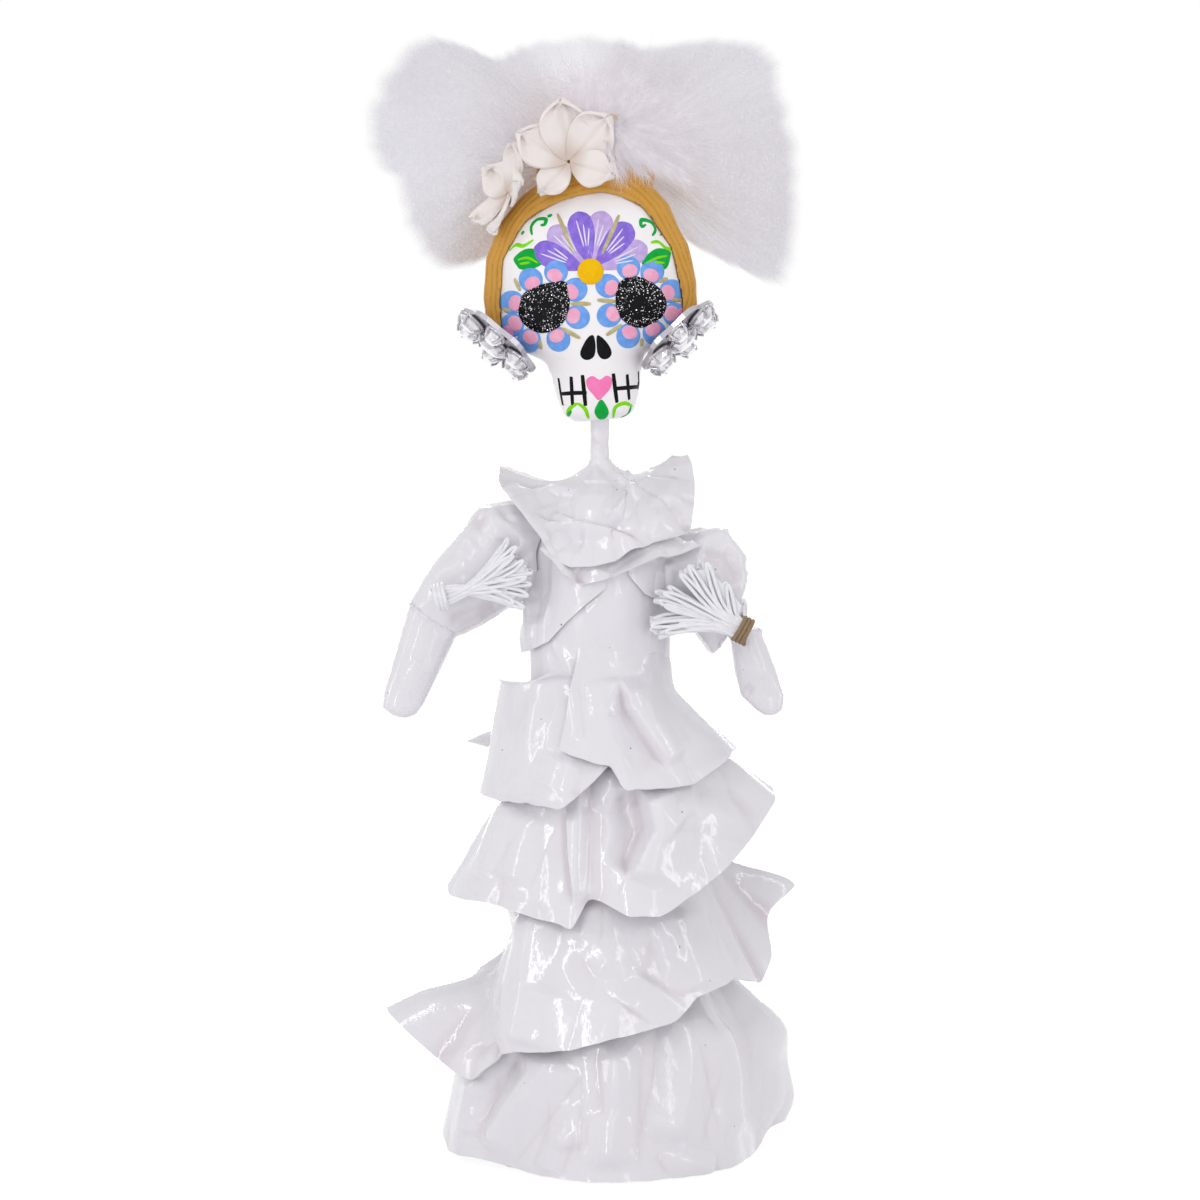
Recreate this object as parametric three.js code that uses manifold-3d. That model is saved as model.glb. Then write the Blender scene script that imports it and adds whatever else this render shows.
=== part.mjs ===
// A skeleton bride: a painted clay skull on a wire, in a dress of folded, lacquered paper.
// Millimetres, +Z up. The face looks along -Y, and the origin lies under the middle of the base.
import * as THREE from 'three';
import { mergeVertices } from 'three/addons/utils/BufferGeometryUtils.js';
import Module from 'manifold-3d';

const wasm = await Module();
wasm.setup();

// Fits and paper
const CLEARANCE = 0.3;
const LAYER_GAP = 0.6;
const PAPER = 1;
const COLLAR_PAPER = 0.9;

// Base, core and wires
const BASE_RADIUS = 29;
const BASE_THICKNESS = 3;
const CORE_FOOT_RADIUS = 27;
const CORE_WAIST_RADIUS = 12.5;
const CORE_HEIGHT = 121;
const SPINE_WIRE_RADIUS = 1;
const ARM_WIRE_RADIUS = 0.8;
const ARM_WIRE_SETBACK = 4.5;

// Bodice and neck
const BODICE_HEIGHT = 55;
const WAIST_HALF_WIDTH = 18.6;
const WAIST_HALF_DEPTH = 13.4;
const CHEST_HALF_WIDTH = 19;
const CHEST_HALF_DEPTH = 14.6;
const NECK_BASE_RADIUS = 4.4;
const NECK_RADIUS = 2.65;
const NECK_LENGTH = 16.5;
const NECK_SEAT = 9;
const WIRE_IN_SKULL = 12;

// Arms
const SLEEVE_ROOT_HALF_DEPTH = 7.6;
const SLEEVE_HALF_DEPTH = 9.5;
const CUFF_HALF_DEPTH = 7;
const CUFF_END_HALF_DEPTH = 5.6;
const FOREARM_HALF_DEPTH = 5;
const HAND_HALF_DEPTH = 2.6;
const FINGERTIP_HALF_DEPTH = 1.6;
const CORD_RADIUS = 0.75;
const CORD_GAP = 0.6;
const HANK_NECK_WIDTH = 2.8;
const LOOP_HALF_WIDTH = 4.4;
const LOOP_OPENS_FROM = 0.12;
const LOOP_OPENS_TO = 0.75;
const TIE_RADIUS = 0.55;
const TIE_TURNS = 3;
const TIE_SLACK = 1.2;
const LEFT_TIE_INSET = 1.5;
const RIGHT_TIE_INSET = 2.05;

// Head
const HEAD_ROLL = -4.5;
const SKULL_HEIGHT = 59;
const SKULL_HALF_WIDTH = 24.6;
const JAW_HALF_WIDTH = 11.4;
const FACE_DEPTH = 15;
const NAPE_DEPTH = 12.5;
const EYE_SPACING = 25.4;
const EYE_HEIGHT = 30;
const EYE_RADIUS = 6.4;
const SOCKET_DEPTH = 1.1;
const SOCKET_TILT = 14;
const SOCKET_SEAT = 0.955;
const HAIR_THICKNESS = 3.7;
const HAIR_CROWN = 6.5;
const HAIR_FRONT = 7.5;
const HAIR_FOOT = 25;
const BUN_RADIUS = 16;

// Flowers, feathers, veil and earrings
const PETAL_COUNT = 5;
const PETAL_LENGTH = 13.5;
const PETAL_WIDTH = 11.5;
const PETAL_THICKNESS = 1.1;
const PETAL_CUP = 5;
const PLUME_THICKNESS = 5;
const VEIL_THICKNESS = 1.6;
const VEIL_PLEAT = 1.8;
const EARRING_RADIUS = 12.5;
const SETTING_THICKNESS = 1.4;
const CENTRE_STONE_LENGTH = 10;
const CENTRE_STONE_WIDTH = 7.4;
const STONE_HEIGHT = 3;
const OUTER_STONE_COUNT = 6;
const OUTER_STONE_WIDTH = 5.4;

// Heights that follow from the stack
const coreFoot = BASE_THICKNESS + CLEARANCE;
const waist = coreFoot + CORE_HEIGHT;
const bodiceFoot = waist + CLEARANCE;
const bodiceTop = bodiceFoot + BODICE_HEIGHT;
const neckFoot = bodiceTop + CLEARANCE;
const chin = neckFoot + NECK_LENGTH;
const neckTop = chin + NECK_SEAT;
const wireTop = neckTop + WIRE_IN_SKULL;

// Materials
const finish = (color, roughness, metalness = 0) =>
  new THREE.MeshStandardMaterial({ color, roughness, metalness });
const lacquer = finish('#e2e0e6', 0.25);
const stuffing = finish('#c9c2b4', 0.9);
const cardboard = finish('#a98d68', 0.85);
const steel = finish('#9a9a9c', 0.35, 1);
const paintedCord = finish('#cfced3', 0.45);
const twine = finish('#8a7560', 0.8);
const clay = finish('#ece8ec', 0.35);
const tanClay = finish('#c19345', 0.4);
const flowerClay = finish('#e8e0de', 0.6);
const feather = finish('#eeeaee', 0.9);
const tulle = finish('#d9d8dd', 0.8);
const silver = finish('#c9c6cc', 0.2, 1);
const crystal = finish('#d8d4dc', 0.05);

const radians = THREE.MathUtils.degToRad;
const lerp = THREE.MathUtils.lerp;
const smoothstep = THREE.MathUtils.smoothstep;
const figure = new THREE.Group();

function piece(name, geometry, material, parent = figure) {
  const mesh = new THREE.Mesh(geometry, material);
  mesh.name = name;
  parent.add(mesh);
  return mesh;
}

// Closed bodies from points and triangles, turned so that their faces point out
function closedBody(points, triangles) {
  const corner = points.map((p) => new THREE.Vector3(...p));
  const volume = triangles.reduce(
    (sum, [a, b, c]) => sum + corner[a].dot(new THREE.Vector3().crossVectors(corner[b], corner[c])),
    0,
  );
  const outward = volume < 0 ? triangles.map(([a, b, c]) => [a, c, b]) : triangles;
  const geometry = new THREE.BufferGeometry();
  geometry.setAttribute('position', new THREE.Float32BufferAttribute(points.flat(), 3));
  geometry.setIndex(outward.flat());
  geometry.computeVertexNormals();
  return geometry;
}

function quad(triangles, a, b, c, d) {
  triangles.push([a, b, c], [a, c, d]);
}

// A skin over rings of points, closed at both ends
function loft(rings) {
  const sides = rings[0].length;
  const points = rings.flat();
  const triangles = [];
  for (let j = 0; j + 1 < rings.length; j++) {
    for (let i = 0; i < sides; i++) {
      const next = (i + 1) % sides;
      quad(triangles, j * sides + i, j * sides + next, (j + 1) * sides + next, (j + 1) * sides + i);
    }
  }
  const lastRing = (rings.length - 1) * sides;
  for (let i = 1; i + 1 < sides; i++) {
    triangles.push([0, i + 1, i], [lastRing, lastRing + i, lastRing + i + 1]);
  }
  return closedBody(points, triangles);
}

// A sheet of paper between two grids of points; a ring joins its last column to its first
function sheet(outer, inner, ring) {
  const rows = outer.length;
  const columns = outer[0].length;
  const points = [...outer.flat(), ...inner.flat()];
  const out = (j, i) => j * columns + (i % columns);
  const back = (j, i) => rows * columns + out(j, i);
  const triangles = [];
  for (let i = 0; i < (ring ? columns : columns - 1); i++) {
    for (let j = 0; j + 1 < rows; j++) {
      quad(triangles, out(j, i), out(j, i + 1), out(j + 1, i + 1), out(j + 1, i));
      quad(triangles, back(j, i), back(j + 1, i), back(j + 1, i + 1), back(j, i + 1));
    }
    const hem = rows - 1;
    quad(triangles, out(0, i + 1), out(0, i), back(0, i), back(0, i + 1));
    quad(triangles, out(hem, i), out(hem, i + 1), back(hem, i + 1), back(hem, i));
  }
  if (!ring) {
    const end = columns - 1;
    for (let j = 0; j + 1 < rows; j++) {
      quad(triangles, out(j, 0), out(j + 1, 0), back(j + 1, 0), back(j, 0));
      quad(triangles, out(j + 1, end), out(j, end), back(j, end), back(j + 1, end));
    }
  }
  return closedBody(points, triangles);
}

// The same sheet from its middle surface, thickened along its own normals
function thickSheet(middle, thickness, ring) {
  const rows = middle.length;
  const columns = middle[0].length;
  const at = (j, i) => {
    const column = ring ? (i + columns) % columns : THREE.MathUtils.clamp(i, 0, columns - 1);
    return new THREE.Vector3(...middle[THREE.MathUtils.clamp(j, 0, rows - 1)][column]);
  };
  const shifted = (amount) => middle.map((row, j) => row.map((_, i) => {
    const across = at(j, i + 1).sub(at(j, i - 1));
    const along = at(j + 1, i).sub(at(j - 1, i));
    const normal = across.cross(along).normalize();
    return at(j, i).addScaledVector(normal, amount).toArray();
  }));
  return sheet(shifted(thickness / 2), shifted(-thickness / 2), ring);
}

// A round bar along points, with flat ends; its frame turns as little as it can
function bar(points, radius, sides) {
  const path = points.map((p) => new THREE.Vector3(...p));
  let across = new THREE.Vector3();
  const rings = path.map((centre, k) => {
    const before = path[Math.max(k - 1, 0)];
    const after = path[Math.min(k + 1, path.length - 1)];
    const tangent = after.clone().sub(before).normalize();
    if (k === 0) {
      across = new THREE.Vector3(0, 1, 0).cross(tangent);
      if (across.lengthSq() < 0.01) across = new THREE.Vector3(1, 0, 0);
    }
    across.addScaledVector(tangent, -across.dot(tangent)).normalize();
    const up = tangent.clone().cross(across);
    return Array.from({ length: sides }, (_, i) => {
      const turn = (2 * Math.PI * i) / sides;
      return centre.clone()
        .addScaledVector(across, radius * Math.cos(turn))
        .addScaledVector(up, radius * Math.sin(turn))
        .toArray();
    });
  });
  return loft(rings);
}

// The same points with both ends carried straight on
function lengthened(points, extra) {
  const carry = (end, before) => {
    const [tip, inner] = [new THREE.Vector3(...end), new THREE.Vector3(...before)];
    return tip.addScaledVector(tip.clone().sub(inner).normalize(), extra).toArray();
  };
  return [carry(points[0], points[1]), ...points.slice(1, -1), carry(points.at(-1), points.at(-2))];
}

function upright(radius, from, to, sides = 12) {
  return bar([[0, 0, from], [0, 0, to]], radius, sides);
}

// Cutting
function solidOf(geometry) {
  const plain = new THREE.BufferGeometry();
  plain.setAttribute('position', geometry.getAttribute('position').clone());
  if (geometry.index) plain.setIndex(geometry.index.clone());
  const merged = mergeVertices(plain);
  return new wasm.Manifold(new wasm.Mesh({
    numProp: 3,
    vertProperties: new Float32Array(merged.getAttribute('position').array),
    triVerts: new Uint32Array(merged.index.array),
  }));
}

// The largest body that is left of a shape when every tool is taken out of it
function cut(geometry, ...tools) {
  let solid = solidOf(geometry);
  for (const tool of tools) solid = solid.subtract(solidOf(tool));
  const bodies = solid.decompose();
  const largest = bodies.reduce((best, body) => (body.volume() > best.volume() ? body : best));
  const mesh = largest.getMesh();
  const result = new THREE.BufferGeometry();
  result.setAttribute('position', new THREE.Float32BufferAttribute(mesh.vertProperties, 3));
  result.setIndex(Array.from(mesh.triVerts));
  result.computeVertexNormals();
  return result;
}

// Rounded sections
const signedPower = (value, power) => Math.sign(value) * Math.abs(value) ** power;

function section(z, halfWidth, front, back, sides, squareness) {
  const power = 2 / squareness;
  return Array.from({ length: sides }, (_, i) => {
    const turn = (2 * Math.PI * i) / sides;
    const depth = Math.sin(turn) < 0 ? front : back;
    return [halfWidth * signedPower(Math.cos(turn), power), depth * signedPower(Math.sin(turn), power), z];
  });
}

// Values that change along a list of [place, value, ...] rows, straight between the rows
function along(rows, place) {
  const upper = rows.findIndex((row) => row[0] >= place);
  if (upper === 0) return rows[0].slice(1);
  if (upper < 0) return rows.at(-1).slice(1);
  const [low, high] = [rows[upper - 1], rows[upper]];
  const share = (place - low[0]) / (high[0] - low[0]);
  return low.slice(1).map((value, k) => lerp(value, high[k + 1], share));
}

// Base and core
const spineBore = SPINE_WIRE_RADIUS + CLEARANCE;
const CORE_SIDES = 32;

function coreRadius(z) {
  if (z > waist) return 0;
  return lerp(CORE_FOOT_RADIUS, CORE_WAIST_RADIUS, Math.max(z - coreFoot, 0) / CORE_HEIGHT);
}

piece('base_disc', upright(BASE_RADIUS, 0, BASE_THICKNESS, CORE_SIDES), cardboard);
piece('spine_wire', upright(SPINE_WIRE_RADIUS, coreFoot, wireTop), steel);
const coreProfile = [
  [spineBore, coreFoot], [CORE_FOOT_RADIUS, coreFoot], [CORE_WAIST_RADIUS, waist], [spineBore, waist],
  [spineBore, coreFoot],
].map(([r, z]) => new THREE.Vector2(r, z));
const coreBlank = new THREE.LatheGeometry(coreProfile, CORE_SIDES).rotateX(Math.PI / 2);
piece('skirt_core', mergeVertices(coreBlank.deleteAttribute('normal').deleteAttribute('uv')), stuffing);

// Bodice: height above its foot, half width, half depth
const CHEST_HEIGHT = 26;
const SHOULDER_DROP = 9;
const SHOULDER_HALF_WIDTH = 16;
const SHOULDER_HALF_DEPTH = 11.4;
const NECK_SLOPE_DROP = 3;
const NECK_SLOPE_HALF_WIDTH = 9;
const NECK_SLOPE_HALF_DEPTH = 7.6;
const bodiceRows = [
  [0, WAIST_HALF_WIDTH, WAIST_HALF_DEPTH],
  [CHEST_HEIGHT, CHEST_HALF_WIDTH, CHEST_HALF_DEPTH],
  [BODICE_HEIGHT - 2 * SHOULDER_DROP, CHEST_HALF_WIDTH, CHEST_HALF_DEPTH],
  [BODICE_HEIGHT - SHOULDER_DROP, SHOULDER_HALF_WIDTH, SHOULDER_HALF_DEPTH],
  [BODICE_HEIGHT - NECK_SLOPE_DROP, NECK_SLOPE_HALF_WIDTH, NECK_SLOPE_HALF_DEPTH],
  [BODICE_HEIGHT, NECK_BASE_RADIUS, NECK_BASE_RADIUS],
];

const BODICE_SIDES = 32;

function bodiceBlank(extra) {
  return loft(bodiceRows.map(([height, halfWidth, halfDepth], k) => {
    const lift = k === 0 ? -extra : k === bodiceRows.length - 1 ? extra : 0;
    const depth = halfDepth + extra;
    return section(bodiceFoot + height + lift, halfWidth + extra, depth, depth, BODICE_SIDES, 2);
  }));
}

function bodiceRadius(angle, z) {
  if (z < bodiceFoot - LAYER_GAP || z > bodiceTop) return 0;
  const [halfWidth, halfDepth] = along(bodiceRows, z - bodiceFoot);
  return 1 / Math.hypot(Math.cos(radians(angle)) / halfWidth, Math.sin(radians(angle)) / halfDepth);
}

// Arm route: from the left hand over both elbows to the right hand, behind the spine wire
const armRoute = [
  [-52.5, -4, -59], [-50, -3.5, -50], [-45.5, -1.5, -36.5], [-40, 0, -31], [-30, 1.5, -21],
  [-20, 3, -16.5], [-8, ARM_WIRE_SETBACK, -16], [8, ARM_WIRE_SETBACK, -16], [20, 3, -18.5],
  [30, 1, -24], [36.5, -1, -31], [38.8, -2.5, -38], [40.5, -3.5, -46], [44, -4, -58],
].map(([x, y, fall]) => [x, y, bodiceTop + fall]);
const armCurve = new THREE.CatmullRomCurve3(armRoute.map((p) => new THREE.Vector3(...p)));
const armPoints = armCurve.getPoints(26).map((p) => p.toArray());
const armBore = bar(lengthened(armPoints, CLEARANCE), ARM_WIRE_RADIUS + CLEARANCE, 6);
piece('arm_wire', bar(armPoints, ARM_WIRE_RADIUS, 6), steel);

const spineTool = upright(spineBore, coreFoot - CLEARANCE, wireTop + CLEARANCE);
piece('bodice', cut(bodiceBlank(0), spineTool, armBore), lacquer);

const neckTool = upright(NECK_RADIUS, neckFoot, neckTop);
piece('neck_wrap', cut(neckTool, spineTool), lacquer);

// Layers of paper hung round the figure. Angles are in degrees, -90 is the front, one column every 6.
const COLUMN = 6;
const LAP = 7;
const layers = [(angle, z) => coreRadius(z), bodiceRadius];
const cover = (angle, z) => Math.max(...layers.map((layer) => layer(angle, z)));

function radiusInProfile(profile, z) {
  const [top, hem] = [profile[0], profile.at(-1)];
  if (z > top[1] + LAP || z < hem[1] - LAP) return 0;
  if (z >= top[1]) return top[0];
  if (z <= hem[1]) return hem[0];
  const low = profile.findIndex(([, height]) => height <= z);
  const [above, below] = [profile[low - 1], profile[low]];
  return lerp(above[0], below[0], (above[1] - z) / (above[1] - below[1]));
}

// Each station is [angle, top reach, top height, middle reach, middle height, hem reach, hem height]
function hang(name, stations, ring) {
  const first = stations[0][0];
  const rows = ring ? [...stations, [first + 360, ...stations[0].slice(1)]] : stations;
  const count = Math.round((rows.at(-1)[0] - first) / COLUMN) + (ring ? 0 : 1);
  const inner = [];
  const outer = [];
  for (let i = 0; i < count; i++) {
    const angle = first + i * COLUMN;
    const [topReach, top, middleReach, middle, hemReach, hem] = along(rows, angle);
    const lower = [(middleReach + hemReach) / 2, (middle + hem) / 2];
    const shape = [[topReach, top], [middleReach, middle], lower, [hemReach, hem]];
    const seated = shape.map(([reach, z]) => [Math.max(reach - PAPER, cover(angle, z) + LAYER_GAP), z]);
    inner.push(seated);
    outer.push(seated.map(([reach, z]) => [reach + PAPER, z]));
  }
  const grid = (profiles) => profiles[0].map((_, j) => profiles.map((profile, i) => {
    const angle = radians(first + i * COLUMN);
    return [profile[j][0] * Math.cos(angle), profile[j][0] * Math.sin(angle), profile[j][1]];
  }));
  layers.push((angle, z) => {
    const turn = ((((angle - first) % 360) + 360) % 360) / COLUMN;
    const whole = 360 / COLUMN;
    if (ring) return radiusInProfile(outer[Math.round(turn) % count], z);
    if (turn > whole - 1.5) return radiusInProfile(outer[0], z);
    return turn < count + 0.5 ? radiusInProfile(outer[Math.min(Math.round(turn), count - 1)], z) : 0;
  });
  piece(name, sheet(grid(outer), grid(inner), ring), lacquer);
}

// Hem skirt: angle, middle reach, middle height, hem reach, hem height, heights above the table
const HEM_HANG = 62;
const hemStations = [
  [-180, 37, 32, 40, 2.5], [-168, 36, 32, 39, 2.5], [-150, 31, 32, 33, 2.5], [-132, 31, 32, 32.5, 2.2],
  [-114, 33, 32, 35, 1.5], [-96, 36, 32, 40, 0.4], [-78, 37, 32, 41, 0.4], [-66, 34, 32, 38.5, 0.4],
  [-54, 36, 32, 40.4, 0.4], [-42, 34, 32, 38, 0.4], [-30, 36, 32, 40.6, 0.4], [-12, 34, 32, 39, 0.6],
  [0, 37, 34, 41, 1], [12, 43, 38, 42, 3], [18, 48, 38, 46, 5], [24, 50, 36, 57.5, 5.8],
  [36, 46, 34, 53, 5], [48, 38, 32, 46, 2], [60, 40, 32, 49, 1], [78, 35, 32, 43, 0.6],
  [96, 38, 32, 46, 0.6], [114, 34, 32, 41, 0.6], [132, 37, 32, 45, 1], [150, 35, 32, 42, 2],
  [162, 38, 32, 45, 6], [174, 37, 32, 42, 4],
];
hang('hem_skirt', hemStations.map(([angle, ...shape]) => [angle, 0, HEM_HANG, ...shape]), true);

// The upper tiers hang from the waist, and their heights are falls below it
const tier = (stations, hangFall) => stations.map(([angle, middleReach, middleFall, hemReach, hemFall]) => [
  angle, 0, waist - hangFall, middleReach, waist - middleFall, hemReach, waist - hemFall,
]);
const LOWER_HANG = 30;
hang('lower_flounce', tier([
  [-180, 26, 70, 56.7, 84.5], [-174, 26, 71, 54, 87.5], [-168, 27, 73, 44, 96.5], [-162, 28, 73, 40, 100],
  [-156, 28, 72, 37.5, 101.5], [-144, 27, 66, 35, 96], [-138, 28, 64, 35.5, 93.5], [-126, 30, 62, 38, 91.5],
  [-114, 30, 62, 38.5, 90.8], [-102, 30, 62, 39.4, 89.8], [-84, 31, 62, 40.4, 86.5], [-60, 31, 62, 39.3, 83],
  [-48, 29, 60, 37.5, 77.5], [-24, 30, 58, 38.4, 74.6], [0, 32, 56, 43, 77.4], [6, 34, 54, 46, 71],
  [12, 34, 50, 46, 62], [18, 36, 46, 51, 54], [24, 36, 46, 48, 58], [36, 32, 50, 42, 68],
  [60, 33, 58, 44, 78], [84, 30, 60, 40, 82], [108, 32, 62, 44, 86], [132, 29, 62, 40, 84],
  [150, 30, 62, 45, 84], [168, 28, 66, 49, 83],
], LOWER_HANG), true);

const MIDDLE_HANG = 8;
hang('middle_flounce', tier([
  [-180, 26.5, 29, 40, 54], [-156, 26, 28, 36, 54], [-144, 25, 27, 33, 54.4], [-120, 25, 26, 33, 57],
  [-102, 25.5, 24, 35, 58.5], [-96, 23, 22, 31, 52], [-90, 23, 21, 31.5, 52], [-78, 24, 21, 36.5, 55.3],
  [-66, 26, 21, 38, 55.6], [-42, 28, 20, 37.8, 48], [-12, 31, 18, 41.4, 37], [0, 35, 18, 46.6, 29],
  [12, 34, 17, 46.6, 26], [24, 30, 18, 42, 32], [42, 27, 20, 38, 42], [66, 28, 22, 41, 48],
  [90, 25, 24, 37, 50], [114, 28, 25, 41, 52], [138, 25, 26, 37, 52], [156, 27, 28, 40, 51],
  [174, 27, 29, 40.6, 52],
], MIDDLE_HANG), true);

// Peplum flaps: angle, top reach, top rise, hem reach, hem fall, all from the waist
const flap = (stations) => stations.map(([angle, topReach, topRise, hemReach, hemFall]) => [
  angle, topReach, waist + topRise, (topReach + hemReach) / 2, waist - (hemFall - topRise) / 2,
  hemReach, waist - hemFall,
]);
hang('peplum_back', flap([
  [18, 20, 2, 34, 17], [48, 17, 2, 31, 20], [72, 15, 2, 33, 21], [96, 14.5, 2, 29, 21],
  [120, 16, 2, 33, 20], [144, 19, 2, 32, 18], [156, 22, 2, 37.5, 15],
]), false);
hang('peplum_left', flap([
  [-186, 26.7, 2.3, 32, 27.3], [-168, 25, 2.4, 29, 27.8], [-150, 21, 2.6, 28, 27.8], [-132, 18.3, 3, 29, 27.4],
  [-108, 16, 3, 32.3, 27.8], [-84, 15, 3, 27, 16.5],
]), false);
hang('peplum_right', flap([
  [-114, 17, 3.6, 26.2, 13.3], [-84, 16.5, 3.2, 29, 17.5], [-78, 17, 3, 31, 23], [-60, 18, 2.6, 32.3, 22.9],
  [-42, 19, 2, 32.6, 22.5], [-12, 20, 1.2, 35.4, 15.4], [6, 20.4, 0.6, 36, 14.5],
]), false);

// Lapels lie on the bodice: angle, top fall, hem fall, both from the bodice's top
const strip = (stations) => stations.map(([angle, topFall, hemFall]) => [
  angle, 0, bodiceTop - topFall, 0, bodiceTop - (topFall + hemFall) / 2, 0, bodiceTop - hemFall,
]);
hang('left_lapel', strip([[-168, 34, 40], [-156, 32, 45], [-144, 22, 44], [-132, 22, 41], [-120, 22, 36]]), false);
hang('right_lapel', strip([[-54, 22, 34], [-48, 22, 37], [-42, 20, 29], [-36, 18, 24]]), false);

// Collars: angle, inner reach, inner rise, outer reach, outer fall, all from the bodice's top
const COLLAR_ROWS = 5;

function collar(name, stations, ring) {
  const first = stations[0][0];
  const rows = ring ? [...stations, [first + 360, ...stations[0].slice(1)]] : stations;
  const count = Math.round((rows.at(-1)[0] - first) / COLUMN) + (ring ? 0 : 1);
  const middle = Array.from({ length: COLLAR_ROWS }, () => []);
  const profiles = [];
  for (let i = 0; i < count; i++) {
    const angle = first + i * COLUMN;
    const [innerReach, rise, outerReach, fall] = along(rows, angle);
    const profile = middle.map((row, j) => {
      const share = j / (COLLAR_ROWS - 1);
      const z = bodiceTop + lerp(rise, -fall, share);
      const seat = cover(angle, z) + LAYER_GAP + COLLAR_PAPER / 2;
      return [Math.max(lerp(innerReach, outerReach, share), seat), z];
    });
    const turn = radians(angle);
    profile.forEach(([reach, z], j) => middle[j].push([reach * Math.cos(turn), reach * Math.sin(turn), z]));
    profiles.push(profile.map(([reach, z]) => [reach + COLLAR_PAPER / 2, z]));
  }
  layers.push((angle, z) => {
    const turn = Math.round(((((angle - first) % 360) + 360) % 360) / COLUMN);
    if (!ring && turn > count) return 0;
    const profile = profiles[Math.min(turn, count - 1)];
    return profile[0][1] > profile.at(-1)[1] ? radiusInProfile(profile, z) : 0;
  });
  piece(name, thickSheet(middle, COLLAR_PAPER, ring), lacquer);
  return thickSheet(middle, COLLAR_PAPER + 2 * CLEARANCE, ring);
}

const lowerCollarSpace = collar('lower_collar', [
  [-138, 17, -7.5, 21, 18.5], [-132, 16, -7.5, 21.5, 19.5], [-120, 14, -7.5, 20.8, 27.3],
  [-108, 13, -7.5, 19.2, 30], [-84, 12, -7.5, 18.4, 29.5], [-66, 13, -7.5, 20, 26],
  [-48, 14, -7.5, 23, 21], [-24, 15, -7.5, 26.5, 17.6], [-18, 15, -7.5, 27.4, 17.2],
], false);
const upperCollarSpace = collar('upper_collar', [
  [-180, 6, 2.4, 26.4, 0.8], [-168, 6, 2, 24, 3.6], [-156, 6, 1.6, 22.5, 6], [-138, 5.6, 1.2, 20.4, 9.2],
  [-126, 5.4, 1, 19.5, 13.6], [-114, 5.4, 1, 18.8, 17], [-96, 5.4, 1, 18.4, 20.6], [-78, 5.4, 1, 18.8, 19.4],
  [-66, 5.4, 1, 19.6, 17], [-48, 5.6, 1.2, 21, 14], [-24, 6, 1.6, 25.7, 11.5], [-12, 6, 2.2, 25.3, 5.5],
  [0, 6, 3, 25, -0.6], [6, 6, 3.4, 24.5, -5], [12, 6, 3.6, 24, -6.8], [18, 6, 3.6, 20, -7.2],
  [36, 5.6, 3, 17, -1.4], [60, 5.6, 2, 15.5, 3.6], [90, 5.6, 1.4, 15, 5.6], [120, 5.6, 2, 15.5, 3.6],
  [150, 5.6, 2.6, 20, -1.4], [162, 6, 2.8, 24.5, -4.2], [174, 6, 2.8, 26.6, -4.4],
], true);

// Arms are lofted through sections, each from one edge to the other in the figure's own plane
const ARM_SIDES = 16;

function armSection([x1, fall1, x2, fall2, halfDepth, y]) {
  const centre = [(x1 + x2) / 2, y, bodiceTop - (fall1 + fall2) / 2];
  return Array.from({ length: ARM_SIDES }, (_, i) => {
    const turn = (2 * Math.PI * i) / ARM_SIDES;
    const reach = Math.cos(turn) / 2;
    return [
      centre[0] + (x2 - x1) * reach,
      y + halfDepth * Math.sin(turn),
      centre[2] - (fall2 - fall1) * reach,
    ];
  });
}

const bodyTools = [bodiceBlank(CLEARANCE), lowerCollarSpace, upperCollarSpace, armBore];
const sleeve = (name, sections) => piece(name, cut(loft(sections.map(armSection)), ...bodyTools), lacquer);
const forearm = (name, sections) => piece(name, cut(loft(sections.map(armSection)), armBore), lacquer);

sleeve('left_puff_sleeve', [
  [-13, 30, -16, 6.5, SLEEVE_ROOT_HALF_DEPTH, 0], [-18.6, 31, -24, 4.6, SLEEVE_HALF_DEPTH, 0],
  [-24.6, 33.7, -31.8, 6.4, SLEEVE_HALF_DEPTH, 0], [-31, 37.6, -39.2, 15.2, SLEEVE_HALF_DEPTH, 0],
  [-36.4, 40.2, -46.2, 25, CUFF_HALF_DEPTH, -0.5], [-38.2, 40.6, -50, 31.8, CUFF_END_HALF_DEPTH, -1],
]);
forearm('left_forearm', [
  [-38.4, 41.2, -50.4, 32.3, FOREARM_HALF_DEPTH, -1.2], [-42.5, 50.2, -53.7, 43.6, FOREARM_HALF_DEPTH, -2.6],
  [-46.6, 58.2, -57, 55.1, HAND_HALF_DEPTH, -3.6], [-48.6, 61, -57.5, 59.1, HAND_HALF_DEPTH, -4],
  [-51.2, 62, -55, 61.2, FINGERTIP_HALF_DEPTH, -4],
]);
sleeve('right_puff_sleeve', [
  [14, 32, 15, 13, SLEEVE_ROOT_HALF_DEPTH, 0], [18, 33, 20, 12.6, SLEEVE_HALF_DEPTH, 0],
  [25.4, 40.5, 26.6, 11.8, SLEEVE_HALF_DEPTH, 0], [29.6, 45.5, 33, 13.2, SLEEVE_HALF_DEPTH, 0],
  [33, 42, 38, 19.4, CUFF_HALF_DEPTH, -0.5], [35, 37, 39.2, 23.6, CUFF_END_HALF_DEPTH, -1],
]);
forearm('right_forearm', [
  [34.6, 40.8, 42.8, 40, FOREARM_HALF_DEPTH, -2.8], [35.6, 49.1, 46.4, 48.6, FOREARM_HALF_DEPTH, -3.4],
  [37.2, 56, 48.8, 56.1, HAND_HALF_DEPTH, -3.8], [41, 59.8, 48.4, 59.8, HAND_HALF_DEPTH, -4],
  [43.5, 61.4, 46.5, 61.3, FINGERTIP_HALF_DEPTH, -4],
]);

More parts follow.
